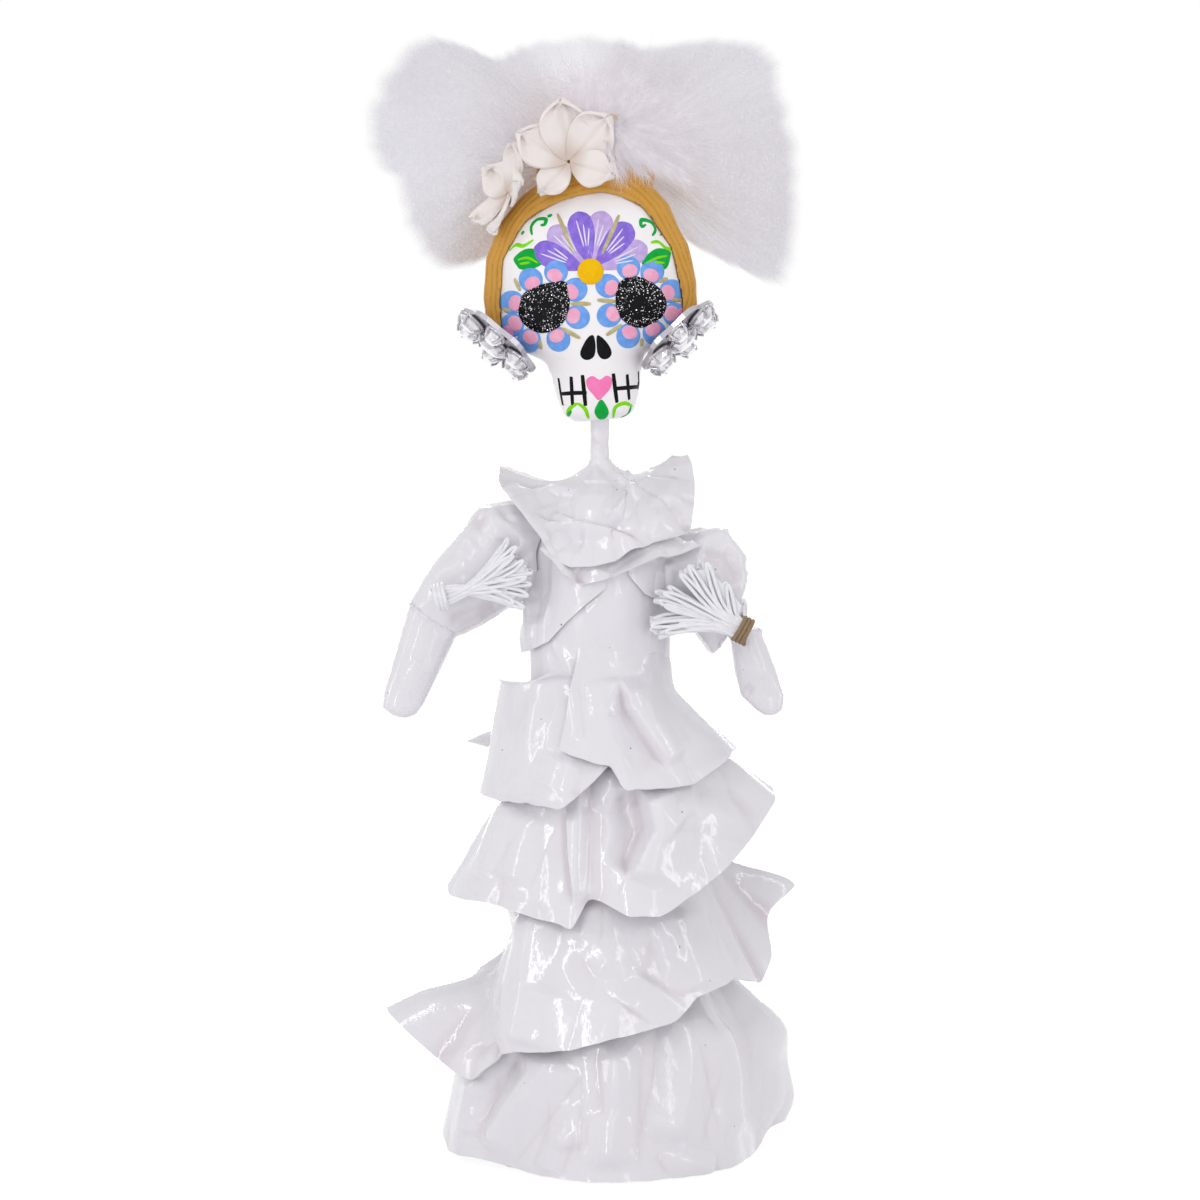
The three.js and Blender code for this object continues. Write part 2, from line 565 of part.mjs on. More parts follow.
// Cord hanks: loops of one unbroken cord, each in a layer of its own, drawn together at a tie
const LOOP_STEPS = 18;
const TURN_STEPS = 4;
const stepsPerLayer = LOOP_STEPS + TURN_STEPS;
const CORD_SIDES = 6;
const layerPitch = 2 * CORD_RADIUS + CORD_GAP;
const tieOffset = CORD_RADIUS + CLEARANCE + TIE_RADIUS;
const sleeveFront = -(SLEEVE_HALF_DEPTH + CLEARANCE + TIE_RADIUS + TIE_SLACK + tieOffset);

// Every loop leaves the tie the same way, and then bends towards its own end
function hankDirection(gather, loopEnds) {
  const sum = new THREE.Vector2();
  for (const [x, fall] of loopEnds) sum.add(new THREE.Vector2(x - gather[0], gather[1] - fall));
  return sum.normalize();
}

function hankPoints(gather, loopEnds, hankBack) {
  const points = [];
  const outward = hankDirection(gather, loopEnds);
  const place = (spine, tangent, side, layer) => points.push([
    gather[0] + spine.x - tangent.y * side,
    hankBack - layer * layerPitch,
    bodiceTop - gather[1] + spine.y + tangent.x * side,
  ]);
  loopEnds.forEach(([x, fall], k) => {
    const end = new THREE.Vector2(x - gather[0], gather[1] - fall);
    const bend = outward.clone().multiplyScalar(end.length() / 2);
    const spine = new THREE.QuadraticBezierCurve(new THREE.Vector2(), bend, end);
    for (let step = 0; step <= LOOP_STEPS; step++) {
      const turn = (2 * Math.PI * step) / LOOP_STEPS;
      const share = (1 - Math.cos(turn)) / 2;
      const spread = LOOP_HALF_WIDTH * smoothstep(share, LOOP_OPENS_FROM, LOOP_OPENS_TO) * Math.sin(turn);
      const side = -(HANK_NECK_WIDTH / 2) * Math.cos(turn / 2) - spread;
      place(spine.getPoint(share), spine.getTangent(share), side, k + step / stepsPerLayer);
    }
    if (k + 1 < loopEnds.length) {
      for (let step = 1; step < TURN_STEPS; step++) {
        const turn = (Math.PI * step) / TURN_STEPS;
        const behind = outward.clone().multiplyScalar((-HANK_NECK_WIDTH / 2) * Math.sin(turn));
        const layer = k + (LOOP_STEPS + step) / stepsPerLayer;
        place(behind, outward, (HANK_NECK_WIDTH / 2) * Math.cos(turn), layer);
      }
    }
  });
  return points;
}

function leastGap(points, radius) {
  const reach = 6 * radius;
  let least = Infinity;
  for (let i = 0; i < points.length; i++) {
    let travelled = 0;
    for (let j = i + 1; j < points.length; j++) {
      const step = new THREE.Vector3(...points[j]).distanceTo(new THREE.Vector3(...points[j - 1]));
      travelled += step;
      if (travelled < reach) continue;
      const apart = new THREE.Vector3(...points[j]).distanceTo(new THREE.Vector3(...points[i]));
      least = Math.min(least, apart - 2 * radius);
    }
  }
  return least;
}

// The tie is a short winding round the neck of the hank
const TIE_STEPS = 14;
const TIE_SIDES = 5;
const TIE_PLACE = -1;

function tiePoints(gather, loopEnds, hankBack) {
  const direction = hankDirection(gather, loopEnds);
  const depth = (loopEnds.length * layerPitch) / 2;
  const halfWidth = HANK_NECK_WIDTH / 2 + tieOffset + TIE_SLACK;
  const halfDepth = depth + tieOffset + TIE_SLACK;
  const pitch = 2 * TIE_RADIUS + CORD_GAP;
  return Array.from({ length: TIE_TURNS * TIE_STEPS + 1 }, (_, step) => {
    const turn = (2 * Math.PI * step) / TIE_STEPS;
    const out = TIE_PLACE + (pitch * step) / TIE_STEPS;
    const side = halfWidth * Math.cos(turn);
    return [
      gather[0] + direction.x * out - direction.y * side,
      hankBack - depth + halfDepth * Math.sin(turn),
      bodiceTop - gather[1] + direction.y * out + direction.x * side,
    ];
  });
}

function hank(side, gather, loopEnds, tieInset, tieFinish) {
  const hankBack = sleeveFront + tieInset;
  const cord = hankPoints(gather, loopEnds, hankBack);
  const tie = tiePoints(gather, loopEnds, hankBack);
  console.log(`${side} hank, least gap to itself ${leastGap(cord, CORD_RADIUS).toFixed(2)} mm`);
  console.log(`${side} tie, least gap to itself ${leastGap(tie, TIE_RADIUS).toFixed(2)} mm`);
  piece(`${side}_cord_hank`, bar(cord, CORD_RADIUS, CORD_SIDES), paintedCord);
  piece(`${side}_elbow_tie`, bar(tie, TIE_RADIUS, TIE_SIDES), tieFinish);
}

const leftLoopEnds = [[-24, 16.5], [-23, 31], [-19.5, 24], [-18.6, 20.5]];
const rightLoopEnds = [[25.5, 22.5], [21.5, 23.5], [16, 28], [14.6, 34.5], [15, 39]];
hank('left', [-42.5, 29.6], leftLoopEnds, LEFT_TIE_INSET, paintedCord);
hank('right', [38.2, 38.4], rightLoopEnds, RIGHT_TIE_INSET, twine);

// Head: its own group stands on the neck, rolled to one side
const head = new THREE.Group();
head.position.set(0, 0, chin);
head.rotation.y = radians(HEAD_ROLL);
figure.add(head);
head.updateMatrixWorld(true);
const intoHead = head.matrixWorld.clone().invert();

// Skull: height above the chin, half width, face depth and nape depth
const CHEEK_HEIGHT = 26;
const JAW_HEIGHT = 16.5;
const skullRows = [
  [0, 6.5, 6.5, 5], [2, JAW_HALF_WIDTH - 2, 9, 6.5], [6, JAW_HALF_WIDTH - 0.6, 10.6, 7.5],
  [12, JAW_HALF_WIDTH + 0.4, 11.6, 8.5], [JAW_HEIGHT, JAW_HALF_WIDTH + 1.8, 12.6, 9.5],
  [19, SKULL_HALF_WIDTH - 6.6, FACE_DEPTH - 1.7, 10.5], [22, SKULL_HALF_WIDTH - 1.8, FACE_DEPTH - 1, 11.5],
  [CHEEK_HEIGHT, SKULL_HALF_WIDTH, FACE_DEPTH - 0.4, NAPE_DEPTH - 0.4],
  [34, SKULL_HALF_WIDTH - 0.2, FACE_DEPTH, NAPE_DEPTH],
  [SKULL_HEIGHT - 15, SKULL_HALF_WIDTH - 1.6, FACE_DEPTH - 1, NAPE_DEPTH - 0.4],
  [SKULL_HEIGHT - 7, SKULL_HALF_WIDTH - 7, FACE_DEPTH - 4, NAPE_DEPTH - 2.6],
  [SKULL_HEIGHT - 2, SKULL_HALF_WIDTH - 14.6, FACE_DEPTH - 8.6, NAPE_DEPTH - 6.5],
  [SKULL_HEIGHT, 3, 2, 2],
];
const FACE_SQUARENESS = 2.35;
const HEAD_SIDES = 30;

function skullBlank(extra) {
  return loft(skullRows.map(([height, halfWidth, face, nape], k) => {
    const lift = k === 0 ? -extra : k === skullRows.length - 1 ? extra : 0;
    return section(height + lift, halfWidth + extra, face + extra, nape + extra, HEAD_SIDES, FACE_SQUARENESS);
  }));
}

function socketTool(side) {
  const [, face] = along(skullRows, EYE_HEIGHT);
  const ball = new THREE.SphereGeometry(EYE_RADIUS, 12, 6);
  ball.scale(1, SOCKET_DEPTH / EYE_RADIUS, 1);
  ball.rotateZ(radians(side * SOCKET_TILT));
  return ball.translate((side * EYE_SPACING) / 2, -face * SOCKET_SEAT, EYE_HEIGHT);
}

const neckSpace = upright(NECK_RADIUS + CLEARANCE, neckFoot, neckTop + CLEARANCE).applyMatrix4(intoHead);
const wireSpace = spineTool.clone().applyMatrix4(intoHead);
piece('skull', cut(skullBlank(0), neckSpace, wireSpace, socketTool(-1), socketTool(1)), clay, head);

// Hair: a cap over the skull, open at the face and below
const hairTop = SKULL_HEIGHT + HAIR_CROWN;
const hairHalfWidth = SKULL_HALF_WIDTH + HAIR_THICKNESS;
const hairNape = NAPE_DEPTH + HAIR_THICKNESS;
const hairRows = [
  [HAIR_FOOT, hairHalfWidth - 0.4, HAIR_FRONT, hairNape - 0.6], [34, hairHalfWidth, HAIR_FRONT, hairNape],
  [hairTop - 21, hairHalfWidth - 1.6, HAIR_FRONT, hairNape],
  [hairTop - 13, hairHalfWidth - 6, HAIR_FRONT, hairNape - 1.5],
  [hairTop - 7, hairHalfWidth - 12.4, HAIR_FRONT - 0.6, hairNape - 4],
  [hairTop - 3, hairHalfWidth - 18.6, HAIR_FRONT - 2, hairNape - 7],
  [hairTop, 4, 2.4, 3],
];
const HAIR_SQUARENESS = 3;

function hairBlank(extra) {
  return loft(hairRows.map(([height, halfWidth, front, nape], k) => {
    const lift = k === 0 ? -extra : k === hairRows.length - 1 ? extra : 0;
    return section(height + lift, halfWidth + extra, front + extra, nape + extra, HEAD_SIDES, HAIR_SQUARENESS);
  }));
}

piece('hair_cap', cut(hairBlank(0), skullBlank(CLEARANCE)), tanClay, head);

const bunCentre = [4.2, 8, hairTop + 1];
const bunBlank = (extra) => new THREE.SphereGeometry(BUN_RADIUS + extra, 18, 11).translate(...bunCentre);
piece('hair_bun', cut(bunBlank(0), hairBlank(CLEARANCE)), tanClay, head);

// Seating: how far along a direction the pieces below reach, inside a round spot
function reachOf(geometries, centre, direction, radius) {
  let reach = -Infinity;
  const normal = new THREE.Vector3(...direction).normalize();
  for (const geometry of geometries) {
    const positions = geometry.getAttribute('position');
    for (let i = 0; i < positions.count; i++) {
      const offset = new THREE.Vector3().fromBufferAttribute(positions, i).sub(new THREE.Vector3(...centre));
      const height = offset.dot(normal);
      if (offset.addScaledVector(normal, -height).length() < radius) reach = Math.max(reach, height);
    }
  }
  return reach;
}

function seatedGroup(geometries, centre, direction, radius, spin) {
  const normal = new THREE.Vector3(...direction).normalize();
  const group = new THREE.Group();
  const reach = reachOf(geometries, centre, direction, radius);
  group.position.set(...centre).addScaledVector(normal, reach + CLEARANCE);
  group.quaternion.setFromUnitVectors(new THREE.Vector3(0, 0, 1), normal);
  group.rotateZ(radians(spin));
  head.add(group);
  return group;
}

// Petals: each keeps to its own sector of the flower and curls up towards its tip
const PETAL_ROWS = 6;
const PETAL_COLUMNS = 5;
const PETAL_ROOT = 1.2;
const PETAL_BROADEST = 0.62;
const PETAL_BLUNTNESS = 0.12;
const PETAL_LEAST_HALF_WIDTH = 0.25;
const PETAL_CURL = 1.6;
const PETAL_EDGE_RISE = 1.2;

function petalGeometry() {
  const sector = Math.tan(Math.PI / PETAL_COUNT);
  const middle = Array.from({ length: PETAL_ROWS }, (_, j) => {
    const share = j / (PETAL_ROWS - 1);
    const out = PETAL_ROOT + (PETAL_LENGTH - PETAL_ROOT) * share;
    const offset = (share - PETAL_BROADEST) / PETAL_BROADEST;
    const oval = (PETAL_WIDTH / 2) * Math.sqrt(Math.max(1 - offset ** 2, PETAL_BLUNTNESS));
    const room = out * sector - PETAL_THICKNESS / 2 - CLEARANCE;
    const half = Math.max(Math.min(oval, room), PETAL_LEAST_HALF_WIDTH);
    return Array.from({ length: PETAL_COLUMNS }, (_, i) => {
      const side = (2 * i) / (PETAL_COLUMNS - 1) - 1;
      const curl = PETAL_CUP * share ** PETAL_CURL + PETAL_EDGE_RISE * side * side * share;
      return [out, half * side, PETAL_THICKNESS / 2 + curl];
    });
  });
  return thickSheet(middle, PETAL_THICKNESS, false);
}

function flower(number, centre, direction, spin, below) {
  const group = seatedGroup(below, centre, direction, PETAL_LENGTH, spin);
  for (let k = 0; k < PETAL_COUNT; k++) {
    const petal = piece(`flower_${number}_petal_${k + 1}`, petalGeometry(), flowerClay, group);
    petal.rotation.z = (2 * Math.PI * k) / PETAL_COUNT;
  }
}

const FLOWER_INSET = 2.6;
const headBelow = [hairBlank(0), bunBlank(0)];
flower(1, [-1.5, 0, hairTop + 4], [-0.12, -0.97, 0.2], 90, headBelow);
flower(2, [-(SKULL_HALF_WIDTH - FLOWER_INSET), -3, hairTop - 3], [-0.84, -0.36, 0.4], 10, headBelow);

// Feathers and tulle, cut clear of the bun and the hair that they are glued to
const headTools = [bunBlank(CLEARANCE), hairBlank(CLEARANCE), skullBlank(CLEARANCE)];

const PLUME_SIDES = 10;
const PLUME_ROOT_SWELL = 0.1;
const PLUME_TIP_SWELL = 0.96;

function plume(name, root, tip, halfWidth, y) {
  const axis = new THREE.Vector2(tip[0] - root[0], tip[1] - root[1]);
  const side = new THREE.Vector2(-axis.y, axis.x).normalize();
  const rings = [0.02, 0.15, 0.35, 0.6, 0.82, 0.95, 1].map((share) => {
    const swell = Math.sin(Math.PI * lerp(PLUME_ROOT_SWELL, PLUME_TIP_SWELL, share));
    return Array.from({ length: PLUME_SIDES }, (_, i) => {
      const turn = (2 * Math.PI * i) / PLUME_SIDES;
      const across = halfWidth * swell * Math.cos(turn);
      return [
        root[0] + axis.x * share + side.x * across,
        y + (PLUME_THICKNESS / 2) * swell * Math.sin(turn),
        root[1] + axis.y * share + side.y * across,
      ];
    });
  });
  piece(name, cut(loft(rings), ...headTools), feather, head);
}

const PLUME_PLACE = 10;
const CENTRE_PLUME_PLACE = 4;
plume('left_plume', [-4, hairTop + 4], [-27, hairTop + 23], 8, PLUME_PLACE);
plume('centre_plume', [6, hairTop + 6], [9.5, hairTop + 37], 19, CENTRE_PLUME_PLACE);
plume('right_plume', [12, hairTop], [36, hairTop - 3], 8, PLUME_PLACE);

// Veil: a fan of pleats from a gathered point, given by the outline of its far edge
const VEIL_ROWS = 4;
const VEIL_PLACE = 17;
const VEIL_START = 0.2;
const PLEATS_PER_SPAN = 3;

function veil(name, gather, outline) {
  const edge = new THREE.SplineCurve(outline.map(([x, rise]) => new THREE.Vector2(x, hairTop + rise)));
  const spokes = edge.getPoints(PLEATS_PER_SPAN * (outline.length - 1));
  const middle = Array.from({ length: VEIL_ROWS }, (_, j) => {
    const share = lerp(VEIL_START, 1, j / (VEIL_ROWS - 1));
    return spokes.map((end, i) => [
      lerp(gather[0], end.x, share),
      VEIL_PLACE + VEIL_PLEAT * share * Math.sin((2 * Math.PI * i) / PLEATS_PER_SPAN),
      lerp(hairTop + gather[1], end.y, share),
    ]);
  });
  piece(name, cut(thickSheet(middle, VEIL_THICKNESS, false), ...headTools), tulle, head);
}

veil('left_veil', [-4, 6], [
  [-25, -13], [-31.5, -22], [-46.5, -14.5], [-54.5, 1], [-57, 16], [-46.3, 33], [-37.2, 38.5], [-27, 36],
  [-19.5, 28.5], [-10, 32],
]);
veil('right_veil', [13, 6], [
  [27, -18], [37.4, -26], [48, -32], [57, -6], [56.5, 10], [54, 25], [49.5, 30.6], [32, 31.5], [19, 33],
]);

// Earrings: a lobed setting, a long centre stone and a ring of smaller ones
const STONE_SIDES = 8;
const STONE_FOOT_SHARE = 0.94;
const GIRDLE_HEIGHT_SHARE = 0.35;
const TABLE_SHARE = 0.62;
const SETTING_LOBE = 0.9;
const STONE_MARGIN = 1;

function stone(length, width) {
  const ring = (share, z) => Array.from({ length: STONE_SIDES }, (_, i) => {
    const turn = (2 * Math.PI * i) / STONE_SIDES;
    return [(length / 2) * share * Math.cos(turn), (width / 2) * share * Math.sin(turn), z];
  });
  const girdle = ring(1, STONE_HEIGHT * GIRDLE_HEIGHT_SHARE);
  return loft([ring(STONE_FOOT_SHARE, 0), girdle, ring(TABLE_SHARE, STONE_HEIGHT)]);
}

const outerStoneLength = EARRING_RADIUS - CENTRE_STONE_WIDTH / 2 - 2 * CLEARANCE - STONE_MARGIN;
const EARRING_INSET = 1.2;
const outerStonePlace = EARRING_RADIUS - outerStoneLength / 2;

function settingGeometry() {
  const steps = 6 * OUTER_STONE_COUNT;
  const outline = Array.from({ length: steps }, (_, i) => {
    const turn = (2 * Math.PI * i) / steps;
    const reach = EARRING_RADIUS - SETTING_LOBE + SETTING_LOBE * Math.cos(OUTER_STONE_COUNT * turn);
    return new THREE.Vector2(reach * Math.cos(turn), reach * Math.sin(turn));
  });
  const plate = { depth: SETTING_THICKNESS, bevelEnabled: false };
  return new THREE.ExtrudeGeometry(new THREE.Shape(outline), plate);
}

function earring(side, centre, direction, spin) {
  const group = seatedGroup([skullBlank(0), hairBlank(0)], centre, direction, EARRING_RADIUS, spin);
  const stoneFoot = SETTING_THICKNESS + CLEARANCE;
  const plain = settingGeometry().deleteAttribute('normal').deleteAttribute('uv');
  piece(`${side}_earring_setting`, mergeVertices(plain), silver, group);
  const centreStone = stone(CENTRE_STONE_LENGTH, CENTRE_STONE_WIDTH);
  piece(`${side}_earring_centre_stone`, centreStone, crystal, group).position.z = stoneFoot;
  for (let k = 0; k < OUTER_STONE_COUNT; k++) {
    const arm = new THREE.Group();
    arm.rotation.z = (2 * Math.PI * (k + 0.5)) / OUTER_STONE_COUNT;
    group.add(arm);
    const outerStone = stone(outerStoneLength, OUTER_STONE_WIDTH);
    const outer = piece(`${side}_earring_stone_${k + 1}`, outerStone, crystal, arm);
    outer.position.set(outerStonePlace, 0, stoneFoot);
  }
}

earring('left', [-SKULL_HALF_WIDTH, -8, 23.5], [-0.69, -0.24, -0.68], 40);
earring('right', [SKULL_HALF_WIDTH - EARRING_INSET, -8, 19], [0.62, -0.24, -0.75], -40);

export default figure;
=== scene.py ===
import math
import random

import bmesh
import bpy
import numpy as np
from bpy.props import FloatProperty, FloatVectorProperty, IntProperty, PointerProperty
from mathutils import Matrix, Vector, noise
from mathutils.bvhtree import BVHTree


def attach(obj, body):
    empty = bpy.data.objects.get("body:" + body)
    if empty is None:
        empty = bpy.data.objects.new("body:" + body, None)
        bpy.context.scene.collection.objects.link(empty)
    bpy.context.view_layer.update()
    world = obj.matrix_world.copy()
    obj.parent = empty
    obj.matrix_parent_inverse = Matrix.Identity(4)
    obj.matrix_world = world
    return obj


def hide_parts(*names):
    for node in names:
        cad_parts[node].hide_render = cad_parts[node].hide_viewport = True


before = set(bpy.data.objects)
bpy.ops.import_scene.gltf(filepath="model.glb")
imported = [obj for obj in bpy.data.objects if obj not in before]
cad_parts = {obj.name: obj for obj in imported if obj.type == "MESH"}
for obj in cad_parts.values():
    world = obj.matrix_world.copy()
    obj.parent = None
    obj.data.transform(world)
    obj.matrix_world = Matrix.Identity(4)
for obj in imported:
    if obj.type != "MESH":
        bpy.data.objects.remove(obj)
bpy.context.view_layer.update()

bl_info = {
    "name": "Skeleton bride",
    "version": (1, 0, 0),
    "blender": (4, 5, 0),
    "location": "View3D > Sidebar > Bride",
    "description": "Dresses a paper skeleton bride: tiers, painted skull, feathers, tulle and crystals",
    "category": "Add Mesh",
}

MM = 0.001
BODY = "root"

# The photograph's camera. Places marked as photo pixels are read in its 1200 x 1200 frame.
PHOTO_PIXELS = 1200
LENS_PIXELS = 4528
SENSOR_MM = 36
CAMERA_PITCH = math.radians(3.5)
CAMERA_DISTANCE = 1.2
CAMERA_TARGET = Vector((0, 0, 0.1486))
RIGHTWARD = Vector((1, 0, 0))
FORWARD = Vector((0, math.cos(CAMERA_PITCH), -math.sin(CAMERA_PITCH)))
UPWARD = Vector((0, math.sin(CAMERA_PITCH), math.cos(CAMERA_PITCH)))
CAMERA_PLACE = CAMERA_TARGET - CAMERA_DISTANCE * FORWARD

# The head leans to one side on the neck; its pieces are laid out upright, in millimetres above the chin
CHIN = 196.4
HEAD_ROLL = math.radians(-4.5)
HEAD = Matrix.Translation((0, 0, CHIN * MM)) @ Matrix.Rotation(HEAD_ROLL, 4, "Y")
HAIR_TOP = 65.5
BODICE_TOP = 179.6
BODICE_FOOT = 124.6


def linear(code):
    """A linear colour from an sRGB hex value."""
    parts = [int(code[k:k + 2], 16) / 255 for k in (1, 3, 5)]
    return tuple(c / 12.92 if c <= 0.04045 else ((c + 0.055) / 1.055) ** 2.4 for c in parts) + (1.0,)


def length(name, description, millimetres):
    return FloatProperty(
        name=name, description=description, default=millimetres * MM, min=0.0, unit="LENGTH", precision=5
    )


def power(name, description, watts):
    return FloatProperty(name=name, description=description, default=watts, min=0.0, unit="POWER")


def colour(name, description, code):
    return FloatVectorProperty(
        name=name, description=description, default=linear(code), size=4, min=0.0, max=1.0, subtype="COLOR"
    )


class BRIDE_PG_paper(bpy.types.PropertyGroup):
    thickness: length("Paper", "Thickness of a lacquered sheet", 0.45)
    crease: length("Crease", "Height of the creases", 0.7)
    crease_pitch: length("Crease pitch", "Breadth of the facets between creases", 23)
    light: colour("Paper light", "Lacquered paper where it is flat", "#eae9ee")
    shade: colour("Paper shade", "Lacquered paper where the paint is thin", "#e4e1e7")
    # The lilac of the painted shade laid into the depth of the paper's folds
    fold: colour("Fold tint", "Tint in the depth of a fold", "#d5c8d1")
    cord: colour("Cord", "White-painted cord", "#f0eff4")
    twine: colour("Twine", "Brown jute twine", "#7f6951")


class BRIDE_PG_head(bpy.types.PropertyGroup):
    clay: colour("Clay", "White of the skull", "#fdfbfc")
    hair: colour("Hair", "Tan of the combed clay hair", "#d5a04a")
    # The colour of the painted shade laid into the comb grooves
    hair_groove_shade: colour("Hair groove", "Tan in the comb grooves", "#9c7029")
    petal: colour("Petal", "Cream of the clay flowers", "#f0e9e6")
    groove_pitch: length("Comb pitch", "Distance between comb grooves in the hair", 1.9)
    groove_depth: length("Comb depth", "Depth of the comb grooves", 0.32)
    paint_lift: length("Paint", "Thickness of a coat of paint on the skull", 0.13)
    flakes: IntProperty(name="Glitter", description="Flakes in each eye", default=330, min=0)


class BRIDE_PG_headdress(bpy.types.PropertyGroup):
    down: colour("Down", "White of the marabou feathers", "#fcfbfd")
    tulle: colour("Tulle", "White of the net", "#e8e7ed")
    barb: length("Barb", "Radius of a feather's barb at its root", 0.045)
    pleats: IntProperty(name="Pleats", description="Fine pleats in each veil", default=23, min=1)


class BRIDE_PG_stage(bpy.types.PropertyGroup):
    key: power("Key", "Strip lamp at the left", 2.1)
    fill: power("Fill", "Strip lamp at the right", 0.9)
    top: power("Top", "Softbox overhead", 1.0)
    front: power("Front", "Softbox by the camera", 0.4)
    sides: power("Sides", "Strip lamp at each side", 1.2)
    back: power("Back", "Strip lamps behind", 1.4)
    surround: FloatProperty(name="Surround", description="Light from all round", default=0.58, min=0.0)


# Nodes and materials

def add(tree, kind, inputs=None, **options):
    """Adds a node, sets its options, and fills its sockets with values or links.

    A node that is given as a value is linked by its first output.
    """
    made = tree.nodes.new(kind)
    for option, value in options.items():
        setattr(made, option, value)
    for socket, value in (inputs or {}).items():
        if isinstance(value, bpy.types.Node):
            value = value.outputs[0]
        if isinstance(value, bpy.types.NodeSocket):
            tree.links.new(value, made.inputs[socket])
        else:
            made.inputs[socket].default_value = value
    return made


def new_material(name, finish, *colours):
    """A material whose surface is the last node of that finish."""
    made = bpy.data.materials.new(name)
    made.use_nodes = True
    tree = made.node_tree
    tree.nodes.clear()
    add(tree, "ShaderNodeOutputMaterial", {"Surface": finish(tree, *colours)})
    return made


def dipped_paper(tree):
    # Paper painted white and dipped in gloss lacquer: cool white, with painted lilac shade in its
    # folds, a few specks, a wet shine
    sizes = bpy.context.scene.bride_paper
    place = add(tree, "ShaderNodeTexCoord").outputs["Object"]
    clouds = add(tree, "ShaderNodeTexNoise", {"Vector": place, "Scale": 1 / (13 * MM), "Detail": 3.0})
    tone = add(
        tree, "ShaderNodeMix", {0: clouds, 6: sizes.light, 7: sizes.shade}, data_type="RGBA"
    ).outputs[2]
    # Painted shade: the fold depth that the mesh carries tints the paper lilac in its folds
    fold = add(tree, "ShaderNodeAttribute", attribute_name="fold").outputs["Fac"]
    folded = add(tree, "ShaderNodeMix", {0: fold, 6: tone, 7: sizes.fold}, data_type="RGBA").outputs[2]
    dust = add(tree, "ShaderNodeTexVoronoi", {"Vector": place, "Scale": 1 / (7 * MM)})
    speck = add(tree, "ShaderNodeMapRange", {0: dust.outputs["Distance"], 1: 0.024, 2: 0.042, 3: 1.0, 4: 0.0})
    specked = add(
        tree, "ShaderNodeMix", {0: speck, 6: folded, 7: linear("#77727c")}, data_type="RGBA"
    ).outputs[2]
    ripple = add(tree, "ShaderNodeTexNoise", {"Vector": place, "Scale": 1 / (2.6 * MM), "Detail": 4.0})
    bump = add(tree, "ShaderNodeBump", {"Height": ripple, "Strength": 0.7, "Distance": 0.16 * MM})
    return add(tree, "ShaderNodeBsdfPrincipled", {
        "Base Color": specked, "Roughness": 0.45, "Specular IOR Level": 0.3, "Coat Weight": 1.0,
        "Coat Roughness": 0.07, "Coat IOR": 1.5, "Normal": bump, "Coat Normal": bump,
    })


def stiffened_cord(tree):
    # Cotton cord stiffened with white paint: satin, with painted shade as thin grey lines where the plies meet
    place = add(tree, "ShaderNodeTexCoord").outputs["Object"]
    # Painted shade: the tint that the mesh carries darkens the grooves between the plies
    ply = add(tree, "ShaderNodeAttribute", attribute_name="fold").outputs["Fac"]
    drips = add(tree, "ShaderNodeTexNoise", {"Vector": place, "Scale": 1 / (1.6 * MM), "Detail": 3.0})
    tone = add(
        tree, "ShaderNodeMix",
        {0: ply, 6: bpy.context.scene.bride_paper.cord, 7: linear("#c0bec5")}, data_type="RGBA",
    ).outputs[2]
    bump = add(tree, "ShaderNodeBump", {"Height": drips, "Strength": 0.5, "Distance": 0.15 * MM})
    return add(tree, "ShaderNodeBsdfPrincipled", {
        "Base Color": tone, "Roughness": 0.42, "Coat Weight": 0.3, "Coat Roughness": 0.2,
        "Normal": bump,
    })


def jute_twine(tree):
    # Raw jute twine: matt, hairy, light and dark brown fibres, with painted dark shade between its plies
    place = add(tree, "ShaderNodeTexCoord").outputs["Object"]
    ply = add(tree, "ShaderNodeAttribute", attribute_name="fold").outputs["Fac"]
    fibre = add(tree, "ShaderNodeTexNoise", {"Vector": place, "Scale": 1 / (0.5 * MM), "Detail": 4.0})
    tone = add(
        tree, "ShaderNodeMix",
        {0: fibre, 6: bpy.context.scene.bride_paper.twine, 7: linear("#a48b6c")}, data_type="RGBA",
    ).outputs[2]
    # Painted shade: the grooves between the plies are darkened
    shaded = add(tree, "ShaderNodeMix", {0: ply, 6: tone, 7: linear("#4d3c2c")}, data_type="RGBA").outputs[2]
    return add(tree, "ShaderNodeBsdfPrincipled", {"Base Color": shaded, "Roughness": 0.85})


def white_clay(tree):
    # Modelled air-dry clay under a satin varnish: smooth, with soft finger dents
    place = add(tree, "ShaderNodeTexCoord").outputs["Object"]
    clouds = add(tree, "ShaderNodeTexNoise", {"Vector": place, "Scale": 1 / (9 * MM), "Detail": 3.0})
    tone = add(
        tree, "ShaderNodeMix",
        {0: clouds, 6: bpy.context.scene.bride_head.clay, 7: linear("#f8f4f6")}, data_type="RGBA",
    ).outputs[2]
    grain = add(tree, "ShaderNodeTexNoise", {"Vector": place, "Scale": 1 / (0.9 * MM), "Detail": 2.0})
    bump = add(tree, "ShaderNodeBump", {"Height": grain, "Strength": 0.25, "Distance": 0.08 * MM})
    return add(tree, "ShaderNodeBsdfPrincipled", {
        "Base Color": tone, "Roughness": 0.42, "Specular IOR Level": 0.4, "Normal": bump,
    })


